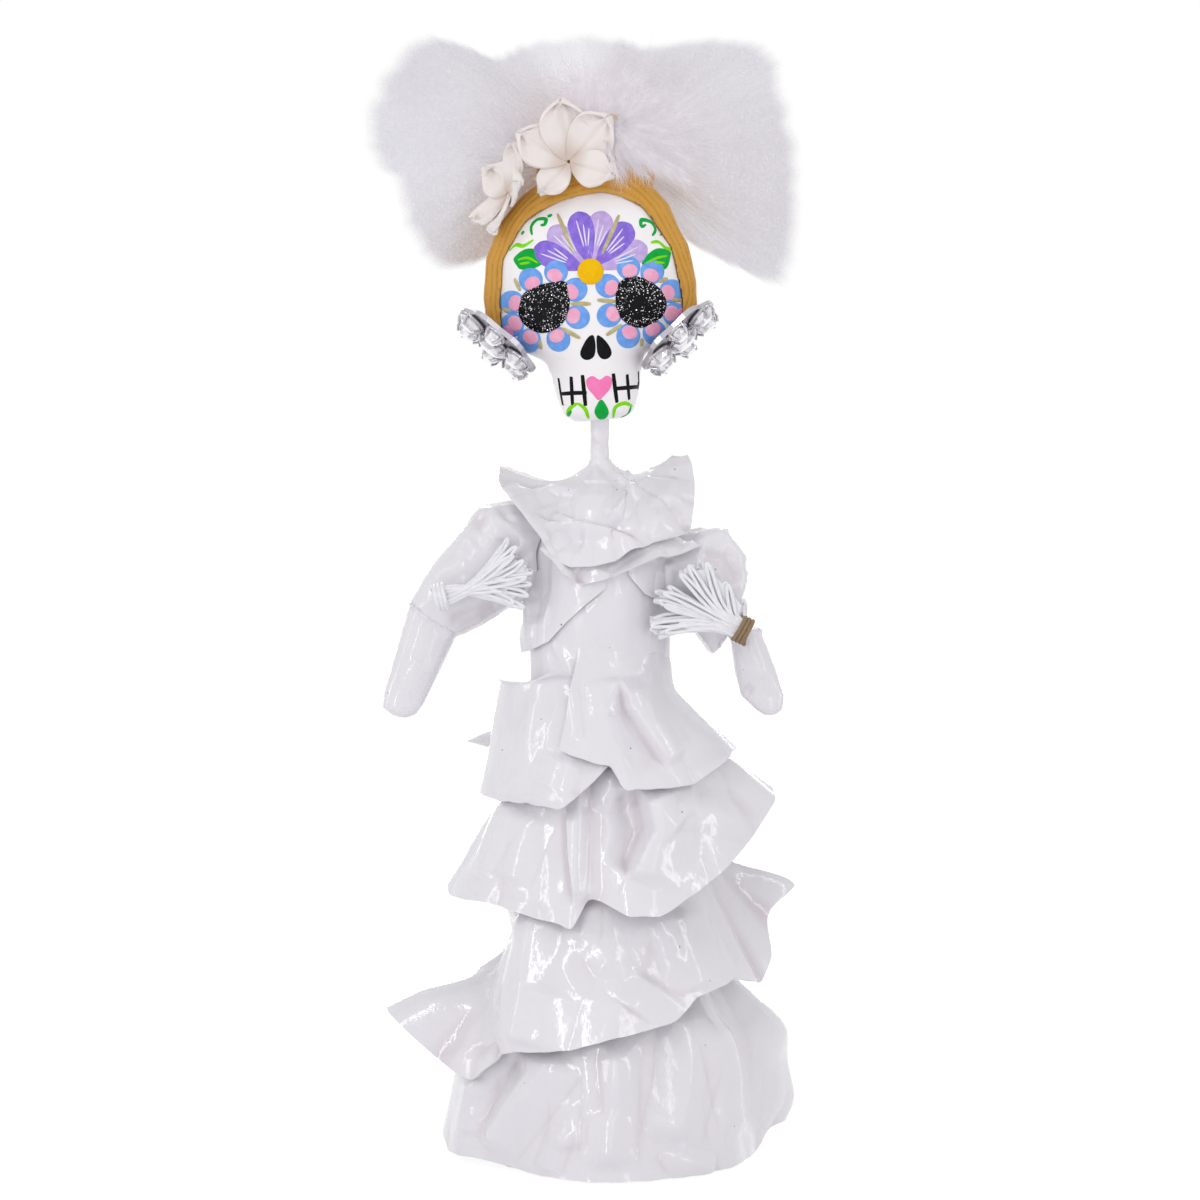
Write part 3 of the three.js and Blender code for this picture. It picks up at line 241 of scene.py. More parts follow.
def combed_clay(tree):
    # Tan clay combed while soft: painted shade darkens the grooves, a dull shine on the ridges
    place = add(tree, "ShaderNodeTexCoord").outputs["Object"]
    head = bpy.context.scene.bride_head
    groove = add(tree, "ShaderNodeAttribute", attribute_name="fold").outputs["Fac"]
    clouds = add(tree, "ShaderNodeTexNoise", {"Vector": place, "Scale": 1 / (6 * MM), "Detail": 3.0})
    tone = add(
        tree, "ShaderNodeMix", {0: clouds, 6: head.hair, 7: linear("#cf9940")}, data_type="RGBA"
    ).outputs[2]
    shaded = add(
        tree, "ShaderNodeMix", {0: groove, 6: tone, 7: head.hair_groove_shade}, data_type="RGBA"
    ).outputs[2]
    grain = add(tree, "ShaderNodeTexNoise", {"Vector": place, "Scale": 1 / (0.7 * MM), "Detail": 3.0})
    bump = add(tree, "ShaderNodeBump", {"Height": grain, "Strength": 0.3, "Distance": 0.08 * MM})
    return add(tree, "ShaderNodeBsdfPrincipled", {
        "Base Color": shaded, "Roughness": 0.5, "Specular IOR Level": 0.22, "Normal": bump,
    })


def pressed_clay(tree):
    # Unglazed cream clay pressed thin: matt, with painted brown shade where the petals crowd together
    place = add(tree, "ShaderNodeTexCoord").outputs["Object"]
    crowded_shade = add(tree, "ShaderNodeAttribute", attribute_name="fold").outputs["Fac"]
    tone = add(
        tree, "ShaderNodeMix",
        {0: crowded_shade, 6: bpy.context.scene.bride_head.petal, 7: linear("#cbb5a6")}, data_type="RGBA",
    ).outputs[2]
    grain = add(tree, "ShaderNodeTexNoise", {"Vector": place, "Scale": 1 / (1.1 * MM), "Detail": 3.0})
    bump = add(tree, "ShaderNodeBump", {"Height": grain, "Strength": 0.35, "Distance": 0.12 * MM})
    return add(tree, "ShaderNodeBsdfPrincipled", {
        "Base Color": tone, "Roughness": 0.62, "Normal": bump,
        "Subsurface Weight": 0.12, "Subsurface Scale": 1.2 * MM,
    })


def marabou_down(tree):
    # White marabou: fine soft barbs that light passes through, a little darker and creamier in random clouds
    place = add(tree, "ShaderNodeTexCoord").outputs["Object"]
    tufts = add(tree, "ShaderNodeTexNoise", {"Vector": place, "Scale": 1 / (2.4 * MM), "Detail": 4.0})
    tone = add(
        tree, "ShaderNodeMix",
        {0: tufts, 6: bpy.context.scene.bride_headdress.down, 7: linear("#dcd6db")}, data_type="RGBA",
    ).outputs[2]
    lit = add(tree, "ShaderNodeBsdfPrincipled", {
        "Base Color": tone, "Roughness": 1.0, "Specular IOR Level": 0.1, "Sheen Weight": 0.3,
        "Sheen Roughness": 0.6,
    })
    through = add(tree, "ShaderNodeBsdfTranslucent", {"Color": tone})
    return add(tree, "ShaderNodeMixShader", {0: 0.3, 1: lit, 2: through})


def gathered_tulle(tree):
    # Gathered nylon tulle: a see-through net, denser where pleats lie over each other, thinning out at its
    # soft rim. Its 0.5 mm holes are too fine for the picture, so the mesh is drawn at 1.1 mm.
    place = add(tree, "ShaderNodeTexCoord").outputs["Object"]
    rim = add(tree, "ShaderNodeAttribute", attribute_name="rim").outputs["Fac"]
    net = add(
        tree, "ShaderNodeTexVoronoi", {"Vector": place, "Scale": 1 / (1.1 * MM)}, feature="DISTANCE_TO_EDGE"
    )
    thread = add(tree, "ShaderNodeMapRange", {0: net.outputs["Distance"], 1: 0.05, 2: 0.3, 3: 1.0, 4: 0.86})
    dense = add(tree, "ShaderNodeMath", {0: thread, 1: rim}, operation="MULTIPLY")
    cloud = add(tree, "ShaderNodeTexNoise", {"Vector": place, "Scale": 1 / (16 * MM), "Detail": 3.0})
    tone = add(
        tree, "ShaderNodeMix",
        {0: cloud, 6: bpy.context.scene.bride_headdress.tulle, 7: linear("#dad9e0")}, data_type="RGBA",
    ).outputs[2]
    return add(tree, "ShaderNodeBsdfPrincipled", {
        "Base Color": tone, "Alpha": dense, "Roughness": 0.8, "Specular IOR Level": 0.2,
        "Sheen Weight": 0.25,
    })


def silver_plate(tree):
    # Bright silver plating on stamped brass: a mirror with fine rub marks
    place = add(tree, "ShaderNodeTexCoord").outputs["Object"]
    rub = add(tree, "ShaderNodeTexNoise", {"Vector": place, "Scale": 1 / (0.8 * MM), "Detail": 3.0})
    rough = add(tree, "ShaderNodeMapRange", {0: rub, 3: 0.22, 4: 0.4})
    return add(tree, "ShaderNodeBsdfPrincipled", {
        "Base Color": linear("#bcb9c0"), "Metallic": 1.0, "Roughness": rough,
    })


def foiled_crystal(tree):
    # Cut glass with a silver foil behind it: each facet is painted light or dark as a painted reflection,
    # under a hard glassy shine
    facet_glint = add(tree, "ShaderNodeAttribute", attribute_name="facet_glint").outputs["Fac"]
    tone = add(
        tree, "ShaderNodeMix",
        {0: facet_glint, 6: linear("#b3b0b8"), 7: linear("#fbfafc")}, data_type="RGBA",
    ).outputs[2]
    return add(tree, "ShaderNodeBsdfPrincipled", {
        "Base Color": tone, "Metallic": 0.3, "Roughness": 0.12, "Coat Weight": 1.0,
        "Coat Roughness": 0.02, "Coat IOR": 1.6,
    })


def acrylic(tree, code, streak):
    # Acrylic paint brushed on thick: streaks of a second tone, soft brush ridges, a low shine
    place = add(tree, "ShaderNodeTexCoord").outputs["Object"]
    brush = add(tree, "ShaderNodeTexNoise", {"Vector": place, "Scale": 1 / (1.8 * MM), "Detail": 4.0})
    share = add(tree, "ShaderNodeMapRange", {0: brush, 1: 0.42, 2: 0.7})
    tone = add(
        tree, "ShaderNodeMix", {0: share, 6: linear(code), 7: linear(streak)}, data_type="RGBA"
    ).outputs[2]
    bump = add(tree, "ShaderNodeBump", {"Height": brush, "Strength": 0.3, "Distance": 0.08 * MM})
    return add(tree, "ShaderNodeBsdfPrincipled", {
        "Base Color": tone, "Roughness": 0.42, "Specular IOR Level": 0.1, "Normal": bump,
    })


def glitter_flake(tree):
    # Black punched film glitter: tiny flat mirrors, each given a tone from nearly black to silver; the silver
    # ones are painted glints
    facet_glint = add(tree, "ShaderNodeAttribute", attribute_name="facet_glint").outputs["Fac"]
    tone = add(
        tree, "ShaderNodeMix",
        {0: facet_glint, 6: linear("#5b5a60"), 7: linear("#f7f7fa")}, data_type="RGBA",
    ).outputs[2]
    return add(tree, "ShaderNodeBsdfPrincipled", {
        "Base Color": tone, "Metallic": 0.7, "Roughness": 0.18,
    })


def fibre_board(tree):
    # Pressed card under a coat of white paint: matt, faintly flecked with fibres
    place = add(tree, "ShaderNodeTexCoord").outputs["Object"]
    fibre = add(tree, "ShaderNodeTexNoise", {"Vector": place, "Scale": 1 / (1.5 * MM), "Detail": 4.0})
    tone = add(
        tree, "ShaderNodeMix",
        {0: fibre, 6: linear("#ebe9ee"), 7: linear("#e0dde3")}, data_type="RGBA",
    ).outputs[2]
    return add(tree, "ShaderNodeBsdfPrincipled", {"Base Color": tone, "Roughness": 0.9})


def rolled_newsprint(tree):
    # Rolled and stuffed newsprint under a thin coat of white paint: pale, matt, with faint wrinkles
    place = add(tree, "ShaderNodeTexCoord").outputs["Object"]
    wrinkle = add(tree, "ShaderNodeTexNoise", {"Vector": place, "Scale": 1 / (4 * MM), "Detail": 4.0})
    tone = add(
        tree, "ShaderNodeMix",
        {0: wrinkle, 6: linear("#ebe9ee"), 7: linear("#e0dde3")}, data_type="RGBA",
    ).outputs[2]
    bump = add(tree, "ShaderNodeBump", {"Height": wrinkle, "Strength": 0.6, "Distance": 0.6 * MM})
    return add(tree, "ShaderNodeBsdfPrincipled", {
        "Base Color": tone, "Roughness": 0.92, "Normal": bump,
    })


def dipped_wire(tree):
    # Steel wire dipped white with the paper: a glossy, slightly lumpy coat
    place = add(tree, "ShaderNodeTexCoord").outputs["Object"]
    lumps = add(tree, "ShaderNodeTexNoise", {"Vector": place, "Scale": 1 / (1.5 * MM), "Detail": 2.0})
    bump = add(tree, "ShaderNodeBump", {"Height": lumps, "Strength": 0.4, "Distance": 0.2 * MM})
    return add(tree, "ShaderNodeBsdfPrincipled", {
        "Base Color": bpy.context.scene.bride_paper.light, "Roughness": 0.3, "Normal": bump,
    })


def drawn_wire(tree):
    # Drawn steel wire: grey metal with fine lengthwise rubbing
    place = add(tree, "ShaderNodeTexCoord").outputs["Object"]
    rub = add(tree, "ShaderNodeTexNoise", {"Vector": place, "Scale": 1 / (0.6 * MM), "Detail": 2.0})
    rough = add(tree, "ShaderNodeMapRange", {0: rub, 3: 0.3, 4: 0.5})
    return add(tree, "ShaderNodeBsdfPrincipled", {
        "Base Color": linear("#9a9a9c"), "Metallic": 1.0, "Roughness": rough,
    })


PLAIN_FINISHES = {
    made.__name__: made for made in (
        dipped_paper, stiffened_cord, jute_twine, white_clay, combed_clay, pressed_clay, marabou_down,
        gathered_tulle, silver_plate, foiled_crystal, glitter_flake, fibre_board, rolled_newsprint,
        dipped_wire, drawn_wire,
    )
}
# Paints: their colour and the colour of their brush streaks
PAINTS = {
    "purple_paint": ("#886bd9", "#9c82e7"),
    "lilac_paint": ("#c3a8e2", "#d3bdee"),
    "blue_paint": ("#6ca2ee", "#82b4f6"),
    "pink_paint": ("#f5a9c9", "#f9bdd6"),
    "blush_paint": ("#f08fd0", "#f5b0dd"),
    "yellow_paint": ("#f6c20a", "#f1b500"),
    "leaf_paint": ("#0aa53d", "#12b548"),
    "lime_paint": ("#86e305", "#7ad80a"),
    "gold_paint": ("#b9ad80", "#cdc398"),
    "heart_paint": ("#fd7fbc", "#ff8dc5"),
    "black_paint": ("#0b0a0d", "#141216"),
    "white_paint": ("#efe9f6", "#e0d6ee"),
}


def coat(name):
    """The material of that name, made the first time that it is asked for."""
    made = bpy.data.materials.get(name)
    if made:
        return made
    if name in PAINTS:
        return new_material(name, acrylic, *PAINTS[name])
    return new_material(name, PLAIN_FINISHES[name])


# Meshes

def new_piece(name, vertices, faces, finish, slot, nodes=(), smooth_angle=38, attributes=None):
    """A mesh object that rides on the figure and stands for the CAD nodes named."""
    mesh = bpy.data.meshes.new(name)
    mesh.from_pydata(np.asarray(vertices).tolist(), [], [list(map(int, face)) for face in faces])
    shell = bmesh.new()
    shell.from_mesh(mesh)
    bmesh.ops.recalc_face_normals(shell, faces=shell.faces[:])
    shell.to_mesh(mesh)
    shell.free()
    piece = bpy.data.objects.new(name, mesh)
    bpy.context.scene.collection.objects.link(piece)
    return dressed(piece, finish, slot, nodes, smooth_angle, attributes)


def dressed(piece, finish, slot, nodes, smooth_angle, attributes=None):
    """Gives a piece its finish. Edges sharper than `smooth_angle` stay sharp; at 0 all faces are flat."""
    mesh = piece.data
    mesh.materials.clear()
    mesh.materials.append(coat(finish))
    if smooth_angle:
        mesh.polygons.foreach_set("use_smooth", [True] * len(mesh.polygons))
        mesh.set_sharp_from_angle(angle=math.radians(smooth_angle))
    for label, values in (attributes or {}).items():
        domain = "POINT" if len(values) == len(mesh.vertices) else "FACE"
        layer = mesh.attributes.new(label, "FLOAT", domain)
        layer.data.foreach_set("value", np.asarray(values, dtype=np.float32))
    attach(piece, BODY)
    if nodes:
        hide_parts(*nodes)
    return piece


def unit(vectors):
    return vectors / np.maximum(np.linalg.norm(vectors, axis=-1, keepdims=True), 1e-12)


def smoothstep(value, low, high):
    share = np.clip((value - low) / (high - low), 0, 1)
    return share * share * (3 - 2 * share)


def drift(points):
    """Smooth steady noise from -1 to 1 at each point."""
    return np.array([noise.noise(Vector(point)) for point in points])


def stations_at(stations, places):
    """Each later column of a table of stations, read at places along its first column."""
    rows = np.array(stations, dtype=float)
    return [np.interp(places, rows[:, 0], column) for column in rows[:, 1:].T]


def resampled(values, count, ring=False, roundness=1.0):
    """Rows of values at `count` even places along them, on a curve through the rows."""
    values = np.asarray(values, dtype=float)
    rows = len(values)
    places = np.arange(count) * rows / count if ring else np.linspace(0, rows - 1, count)
    low = np.minimum(np.floor(places).astype(int), rows - 1 if ring else max(rows - 2, 0))
    share = (places - low).reshape((-1,) + (1,) * (values.ndim - 1))
    pick = (lambda k: values[k % rows]) if ring else (lambda k: values[np.clip(k, 0, rows - 1)])
    before, start, end, after = pick(low - 1), pick(low), pick(low + 1), pick(low + 2)
    flat = (1 - roundness) * (end - start)
    leave = roundness * (end - before) / 2 + flat
    arrive = roundness * (after - start) / 2 + flat
    return (
        start * (2 * share ** 3 - 3 * share ** 2 + 1) + leave * (share ** 3 - 2 * share ** 2 + share)
        + end * (3 * share ** 2 - 2 * share ** 3) + arrive * (share ** 3 - share ** 2)
    )


def quads(index):
    """Faces between the neighbouring rows and columns of a grid of point numbers."""
    return np.stack([index[:-1, :-1], index[:-1, 1:], index[1:, 1:], index[1:, :-1]], -1).reshape(-1, 4)


def wrapped(start, rows, sides):
    """Point numbers of a tube, ring by ring, each closed by its first point."""
    index = start + np.arange(rows * sides).reshape(rows, sides)
    return np.concatenate([index, index[:, :1]], axis=1)


def tube_faces(start, rows, sides, loop=False):
    """Faces of a tube: its wall, and its two ends unless it runs round in a loop."""
    index = wrapped(start, rows, sides)
    if loop:
        return quads(np.concatenate([index, index[:1]])).tolist()
    return quads(index).tolist() + [index[0, -2::-1].tolist(), index[-1, :-1].tolist()]


def turns(sides):
    """The angles of evenly spaced places round a ring."""
    return 2 * math.pi * np.arange(sides) / sides


def grid_normals(grid, ring):
    """Unit normals of a grid of points (rows x columns x 3)."""
    if ring:
        across = np.roll(grid, -1, axis=1) - np.roll(grid, 1, axis=1)
    else:
        across = np.gradient(grid, axis=1)
    return unit(np.cross(across, np.gradient(grid, axis=0)))


# Columns to either side that a fold's depth is measured against, the depth in millimetres for each column
# that gives it its full painted shade, and the strength of that painted shade
HOLLOW_REACHES = (3, 8)
FULL_FOLD = 0.2
FOLD_SHADE = 0.7


def grid_hollows(grid, normals, ring):
    """How far each point of a grid lies below its neighbours, in metres: the depth of its fold."""
    depth = np.zeros(grid.shape[:2])
    for reach in HOLLOW_REACHES:
        left, right = np.roll(grid, reach, axis=1), np.roll(grid, -reach, axis=1)
        bowl = np.einsum("rck,rck->rc", (left + right) / 2 - grid, normals)
        if not ring:
            bowl[:, :reach] = 0
            bowl[:, -reach:] = 0
        depth += bowl / reach
    return depth


def closed_sheet(outer, inner, ring):
    """Vertices and faces of a thin closed sheet between two grids of points."""
    rows, columns = outer.shape[:2]
    front = wrapped(0, rows, columns) if ring else np.arange(rows * columns).reshape(rows, columns)
    back = front + rows * columns

    def rim(first, second):
        return np.stack([first[:-1], first[1:], second[1:], second[:-1]], -1)

    faces = [quads(front), quads(back)[:, ::-1], rim(front[0], back[0]), rim(back[-1], front[-1])]
    if not ring:
        faces += [rim(back[:, 0], front[:, 0]), rim(front[:, -1], back[:, -1])]
    return np.concatenate([outer.reshape(-1, 3), inner.reshape(-1, 3)]), np.concatenate(faces)


def paper_piece(node, grid, ring, outward):
    """A sheet of lacquered paper from its outer face; `outward` gives the side that its face looks to."""
    normals = grid_normals(grid, ring)
    if np.einsum("rck,rck->", normals, outward) < 0:
        normals = -normals
    inner = grid - normals * bpy.context.scene.bride_paper.thickness
    vertices, faces = closed_sheet(grid, inner, ring)
    # Painted shade: points that lie deep in a fold get the lilac fold tint
    fold = np.clip(grid_hollows(grid, normals, ring) / (FULL_FOLD * MM), 0, 1).ravel() * FOLD_SHADE
    return new_piece(
        node + "_sheet", vertices, faces, "dipped_paper", "lacquered_paper", [node],
        attributes={"fold": np.concatenate([fold, fold])},
    )


# Creases and folds of the paper

def corner_heights(corners, seed):
    """A steady height from -1 to 1 for each corner of a lattice."""
    mixed = np.sin(corners @ np.array((127.1, 311.7, 74.7)) + 3.1 * seed) * 43758.5453
    return 2 * (mixed - np.floor(mixed)) - 1


def facets(points, pitch, seed):
    """Relief of crumpled paper, -1 to 1: flat facets about `pitch` across that meet in straight creases."""
    place = np.asarray(points) / pitch + 7.3 * seed
    place = place + 0.28 * np.sin(1.7 * place[:, [1, 2, 0]] + seed)
    skewed = place + place.sum(axis=1, keepdims=True) / 3
    corner = np.floor(skewed)
    part = skewed - corner
    order = np.argsort(-part, axis=1)
    ranked = np.take_along_axis(part, order, axis=1)
    relief = (1 - ranked[:, 0]) * corner_heights(corner, seed)
    every = np.arange(len(place))
    for k in range(3):
        corner[every, order[:, k]] += 1
        share = ranked[:, k] - (ranked[:, k + 1] if k < 2 else 0)
        relief += share * corner_heights(corner, seed)
    return relief


def creases(points, pitch, seed):
    """Broad facets with smaller ones across them, from about -1 to 1."""
    return 0.75 * facets(points, pitch, seed) + 0.3 * facets(points, 0.42 * pitch, seed + 11)


def photo_pixels(points):
    """Where points in metres fall in the photograph."""
    offset = np.asarray(points) - np.array(CAMERA_PLACE)
    away = offset @ np.array(FORWARD)
    across = PHOTO_PIXELS / 2 + LENS_PIXELS * (offset @ np.array(RIGHTWARD)) / away
    down = PHOTO_PIXELS / 2 - LENS_PIXELS * (offset @ np.array(UPWARD)) / away
    return np.stack([across, down], axis=-1)


def to_line(seen, line):
    """Distance in pixels to a line of points, which side it is on, and how far along it, from 0 to 1."""
    corners = np.asarray(line, dtype=float)
    spans = np.linalg.norm(np.diff(corners, axis=0), axis=1)
    total, travelled = spans.sum(), 0.0
    best = np.full(len(seen), np.inf)
    side, place = np.zeros(len(seen)), np.zeros(len(seen))
    for start, end, span in zip(corners[:-1], corners[1:], spans):
        way = (end - start) / span
        offset = seen - start
        along = np.clip(offset @ way, 0, span)
        apart = np.linalg.norm(offset - along[:, None] * way, axis=1)
        nearer = apart < best
        best = np.where(nearer, apart, best)
        side = np.where(nearer, np.sign(way[1] * offset[:, 0] - way[0] * offset[:, 1]), side)
        place = np.where(nearer, (travelled + along) / total, place)
        travelled += span
    return best, side, place


# In photo pixels, half the breadth of a lip's drop and the rounding of a fold's ridge. LIP_DIP is how far a
# lip sinks on its low side, as a share of its height.
LIP_SLOPE = 2.6
LIP_DIP = 0.45
FOLD_ROUND = 3.5


def fold_relief(points, facing, folds):
    """Metres to push points out for fold lines read off the photograph, on the side that faces the camera.
    A fold is its kind, its line in photo pixels, its half width in pixels and its height in millimetres. A
    crest stands up, a valley sinks, and a lip, drawn downwards, stands up on the right and drops off on the
    left. A bulge swells softly, or sinks where its height is below zero, and reaches round the outline."""
    seen = photo_pixels(points)
    shown = smoothstep(facing, 0.05, 0.35)
    relief = np.zeros(len(points))
    for kind, line, width, height in folds:
        apart, side, place = to_line(seen, line)
        ends = np.minimum(smoothstep(place, -0.02, 0.18), 1 - smoothstep(place, 0.85, 1.02))
        rounding = min(FOLD_ROUND, 0.3 * width)
        share = np.clip(1 - (np.hypot(apart, rounding) - rounding) / width, 0, 1)
        if kind == "bulge":
            relief += height * MM * smoothstep(share, 0, 1) * smoothstep(facing, -0.9, -0.4)
            continue
        if kind == "lip":
            edge = smoothstep(side * apart, -LIP_SLOPE, LIP_SLOPE)
            shape = edge * smoothstep(share, 0, 1) - (1 - edge) * LIP_DIP * smoothstep(share, 0.4, 1)
        else:
            shape = share * (1 if kind == "crest" else -1)
        relief += height * MM * shape * ends * shown
    return relief


def creased(grid, ways, facing, folds, seed, height, pitch_share=1.0):
    """A grid pushed out along `ways` by small creases, `height` times their full one, and by the folds."""
    paper = bpy.context.scene.bride_paper
    points = grid.reshape(-1, 3)
    small = creases(points, pitch_share * paper.crease_pitch, seed).reshape(grid.shape[:2]) * paper.crease
    folded = fold_relief(points, facing.ravel(), folds).reshape(grid.shape[:2])
    return grid + ways * (height * small + folded)[..., None]


def round_grid(reach, angle, height):
    """Points in metres at a reach from the middle, an angle round it and a height, both in millimetres."""
    return np.stack([reach * np.cos(angle), reach * np.sin(angle), height], -1) * MM


def outwards(angle, rows, rise=0.0):
    """The way out from the middle at each angle, for every row of a grid."""
    ways = np.stack([np.cos(angle), np.sin(angle), np.full_like(angle, rise)], -1)
    return ways.reshape(1, -1, 3).repeat(rows, axis=0)


# Paper sheets hung round the figure

# Degrees between the columns of a solid, and the columns drawn for each of them
COLUMN = 6
COLUMNS_ROUND = 360 // COLUMN
FINE_COLUMNS = 12
SAME_HEIGHT = 0.05 * MM
# A tucked sheet's two upper rows: their share of the climb, and how far off the bodice they lie
TUCK_ROWS = ((1.0, -0.7), (0.55, 0.5))
TUCK_OVERLAP = 0.3
# Angles between which a back flap's corner comes loose, and how far it splays as a share of its drop
TAB_ANGLES = (112, 156)
TAB_SPLAY = 0.22
# Ragged lower edges: their height in millimetres, their waves round the figure, and their least height above
# the table, also for a hem that comes down to it
TATTER = 0.35
TATTER_WAVES = 7
EDGE_CLEARANCE = 0.2
HEM_CLEARANCE = 0.5


def hung_columns(node):
    """Heights and outer reaches of a sheet's columns from the top, its first angle, and if it is a ring."""
    found = {}
    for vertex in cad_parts[node].data.vertices:
        x, y, z = vertex.co
        step = round(math.degrees(math.atan2(y, x)) / COLUMN) % COLUMNS_ROUND
        found.setdefault(step, []).append((z, math.hypot(x, y)))
    steps = sorted(found)
    ring = len(steps) == COLUMNS_ROUND
    if not ring:
        spans = [(steps[(k + 1) % len(steps)] - step) % COLUMNS_ROUND for k, step in enumerate(steps)]
        start = spans.index(max(spans)) + 1
        steps = steps[start:] + steps[:start]
    profiles = []
    for step in steps:
        rows = []
        for z, reach in sorted(found[step], reverse=True):
            if rows and rows[-1][0] - z < SAME_HEIGHT:
                rows[-1][1] = max(rows[-1][1], reach)
            else:
                rows.append([z, reach])
        profiles.append(rows)
    return np.array(profiles), steps[0] * COLUMN, ring


def tucked(profiles, first, climb, free, held):
    """Carries a sheet's columns up on to the bodice by `climb` millimetres, where its edge sinks into the
    paper. Columns up to the angle `free` keep their loose top edge, and those past `held` are tucked in."""
    longer = []
    for k, column in enumerate(profiles):
        degrees = first + k * COLUMN
        degrees -= 360 if degrees > 90 else 0
        grip = smoothstep(degrees, free, held)
        top, reach = column[0] / MM
        above = []
        for rise, lift in TUCK_ROWS:
            height = top + (climb * grip + TUCK_OVERLAP) * rise
            close = bodice_reach(math.radians(degrees), height) + lift
            above.append([height * MM, (reach + (close - reach) * grip) * MM])
        longer.append(above + [list(row) for row in column])
    return np.array(longer)


def hung_sheet(node, folds, seed, rows=84, crease_share=1.0, tuck=None, floor=0, tab=0, calm=0):
    """Redraws a hung sheet finely from its solid's columns, with small creases and the photograph's folds.
    In millimetres, `tab` is the drop of a loose corner, and an edge below `floor` comes down to the table.
    `calm` is the share of the columns' unevenness taken out."""
    profiles, first, ring = hung_columns(node)
    if calm:
        around = np.mean([np.roll(profiles[..., 1], step, axis=0) for step in (-2, -1, 0, 1, 2)], axis=0)
        profiles[..., 1] += calm * (around - profiles[..., 1])
    if tuck:
        profiles = tucked(profiles, first, *tuck)
    count = len(profiles) * FINE_COLUMNS if ring else (len(profiles) - 1) * FINE_COLUMNS + 1
    fine = resampled(profiles, count, ring, roundness=0.75)
    fine = resampled(fine.transpose(1, 0, 2), rows, roundness=0.55)
    angle = np.radians(first + np.arange(count) * COLUMN / FINE_COLUMNS)
    outward = outwards(angle, rows)
    grid = outward * fine[..., 1:2]
    grid[..., 2] = fine[..., 0]
    share = np.linspace(0, 1, rows)[:, None]
    height = crease_share * (0.35 + 0.65 * smoothstep(share, 0.05, 0.45))
    grid = creased(grid, outward, -outward[..., 1], folds, seed, height)
    tatter = drift([(TATTER_WAVES * math.cos(a), TATTER_WAVES * math.sin(a), seed) for a in angle])
    grid[..., 2] += np.maximum(TATTER * MM * tatter * share ** 3, EDGE_CLEARANCE * MM - fine[..., 0])
    loose = tab * MM * smoothstep(np.degrees(angle), *TAB_ANGLES)
    grid[..., 1] += loose * share
    grid += outward * (TAB_SPLAY * loose * share)[..., None]
    grid[..., 2] -= loose * (1 - share)
    if floor:
        grounded = 1 - smoothstep(fine[-1, :, 0], floor * MM, 2 * floor * MM)
        grid[..., 2] -= np.maximum(fine[-1, :, 0] - HEM_CLEARANCE * MM, 0) * grounded * share ** 2
    return paper_piece(node, grid, ring, outward)


HEM_FOLDS = [
    ("crest", [(472, 1075), (471, 1090), (466, 1135)], 16, 2.0),
    ("valley", [(518, 1050), (489, 1098), (476, 1140)], 18, 2.4),
    ("crest", [(560, 1050), (532, 1087), (484, 1144)], 30, 3.2),
    ("crest", [(570, 1095), (567, 1150)], 16, 1.2),
    ("crest", [(563, 1128), (546, 1170)], 12, 1.3),
    ("valley", [(598, 1045), (604, 1120)], 13, 1.6),
    ("crest", [(613, 1040), (608, 1172)], 26, 2.8),
    ("crest", [(690, 1000), (685, 1080), (671, 1146)], 28, 3.2),
    ("crest", [(671, 1146), (678, 1160), (716, 1169)], 14, 1.5),
    ("crest", [(712, 1015), (735, 1084), (748, 1135)], 24, 3.0),
    ("crest", [(792, 1056), (784, 1090), (766, 1107)], 18, 2.0),
    ("bulge", [(783, 1040), (786, 1090)], 46, 7.0),
]
LOWER_FOLDS = [
    ("lip", [(527, 895), (523, 915), (499, 990), (498, 1055)], 44, 3.4),
    ("valley", [(505, 925), (484, 990), (478, 1060)], 26, 1.8),
    ("crest", [(466, 980), (424, 1042)], 25, 1.8),
    ("crest", [(585, 900), (581, 940)], 16, 1.2),
    ("valley", [(576, 950), (594, 980), (625, 984), (646, 970), (657, 932)], 18, 1.4),
    ("crest", [(548, 985), (530, 1048)], 34, 1.6),
    ("crest", [(655, 980), (632, 1012)], 36, 1.4),
    ("crest", [(676, 905), (687, 953), (700, 990)], 28, 1.9),
    ("lip", [(706, 868), (712, 878), (732, 925), (752, 972)], 34, 2.4),
    ("crest", [(742, 880), (760, 920), (768, 960)], 20, 1.2),
    ("bulge", [(488, 935), (455, 975)], 34, -6.0),
    ("bulge", [(762, 845), (770, 875)], 34, 6.0),
]
MIDDLE_FOLDS = [
    ("crest", [(510, 800), (464, 872)], 24, 2.0),
    ("crest", [(534, 810), (506, 882)], 22, 1.6),
    ("valley", [(463, 876), (510, 899), (558, 923)], 9, 0.6),
    ("lip", [(566, 806), (567, 850), (574, 905)], 34, 1.8),
    ("crest", [(611, 762), (613, 812)], 20, 1.5),
    ("valley", [(622, 785), (634, 830), (626, 872)], 20, 2.2),
    ("lip", [(637, 785), (649, 828), (627, 876)], 56, 3.6),
    ("crest", [(644, 796), (655, 812), (676, 827)], 22, 1.4),
    ("crest", [(672, 803), (715, 812), (764, 823)], 20, 1.6),
    ("valley", [(690, 790), (735, 800), (764, 806)], 14, 0.9),
]
PEPLUM_LEFT_FOLDS = [
    ("crest", [(540, 690), (524, 760), (512, 798)], 14, 0.9),
    ("crest", [(550, 722), (546, 748)], 9, 0.5),
    ("crest", [(562, 755), (548, 790)], 20, 0.9),
    ("valley", [(480, 792), (520, 797), (566, 803)], 5, 0.4),
    ("valley", [(590, 752), (572, 800)], 12, 0.9),
]
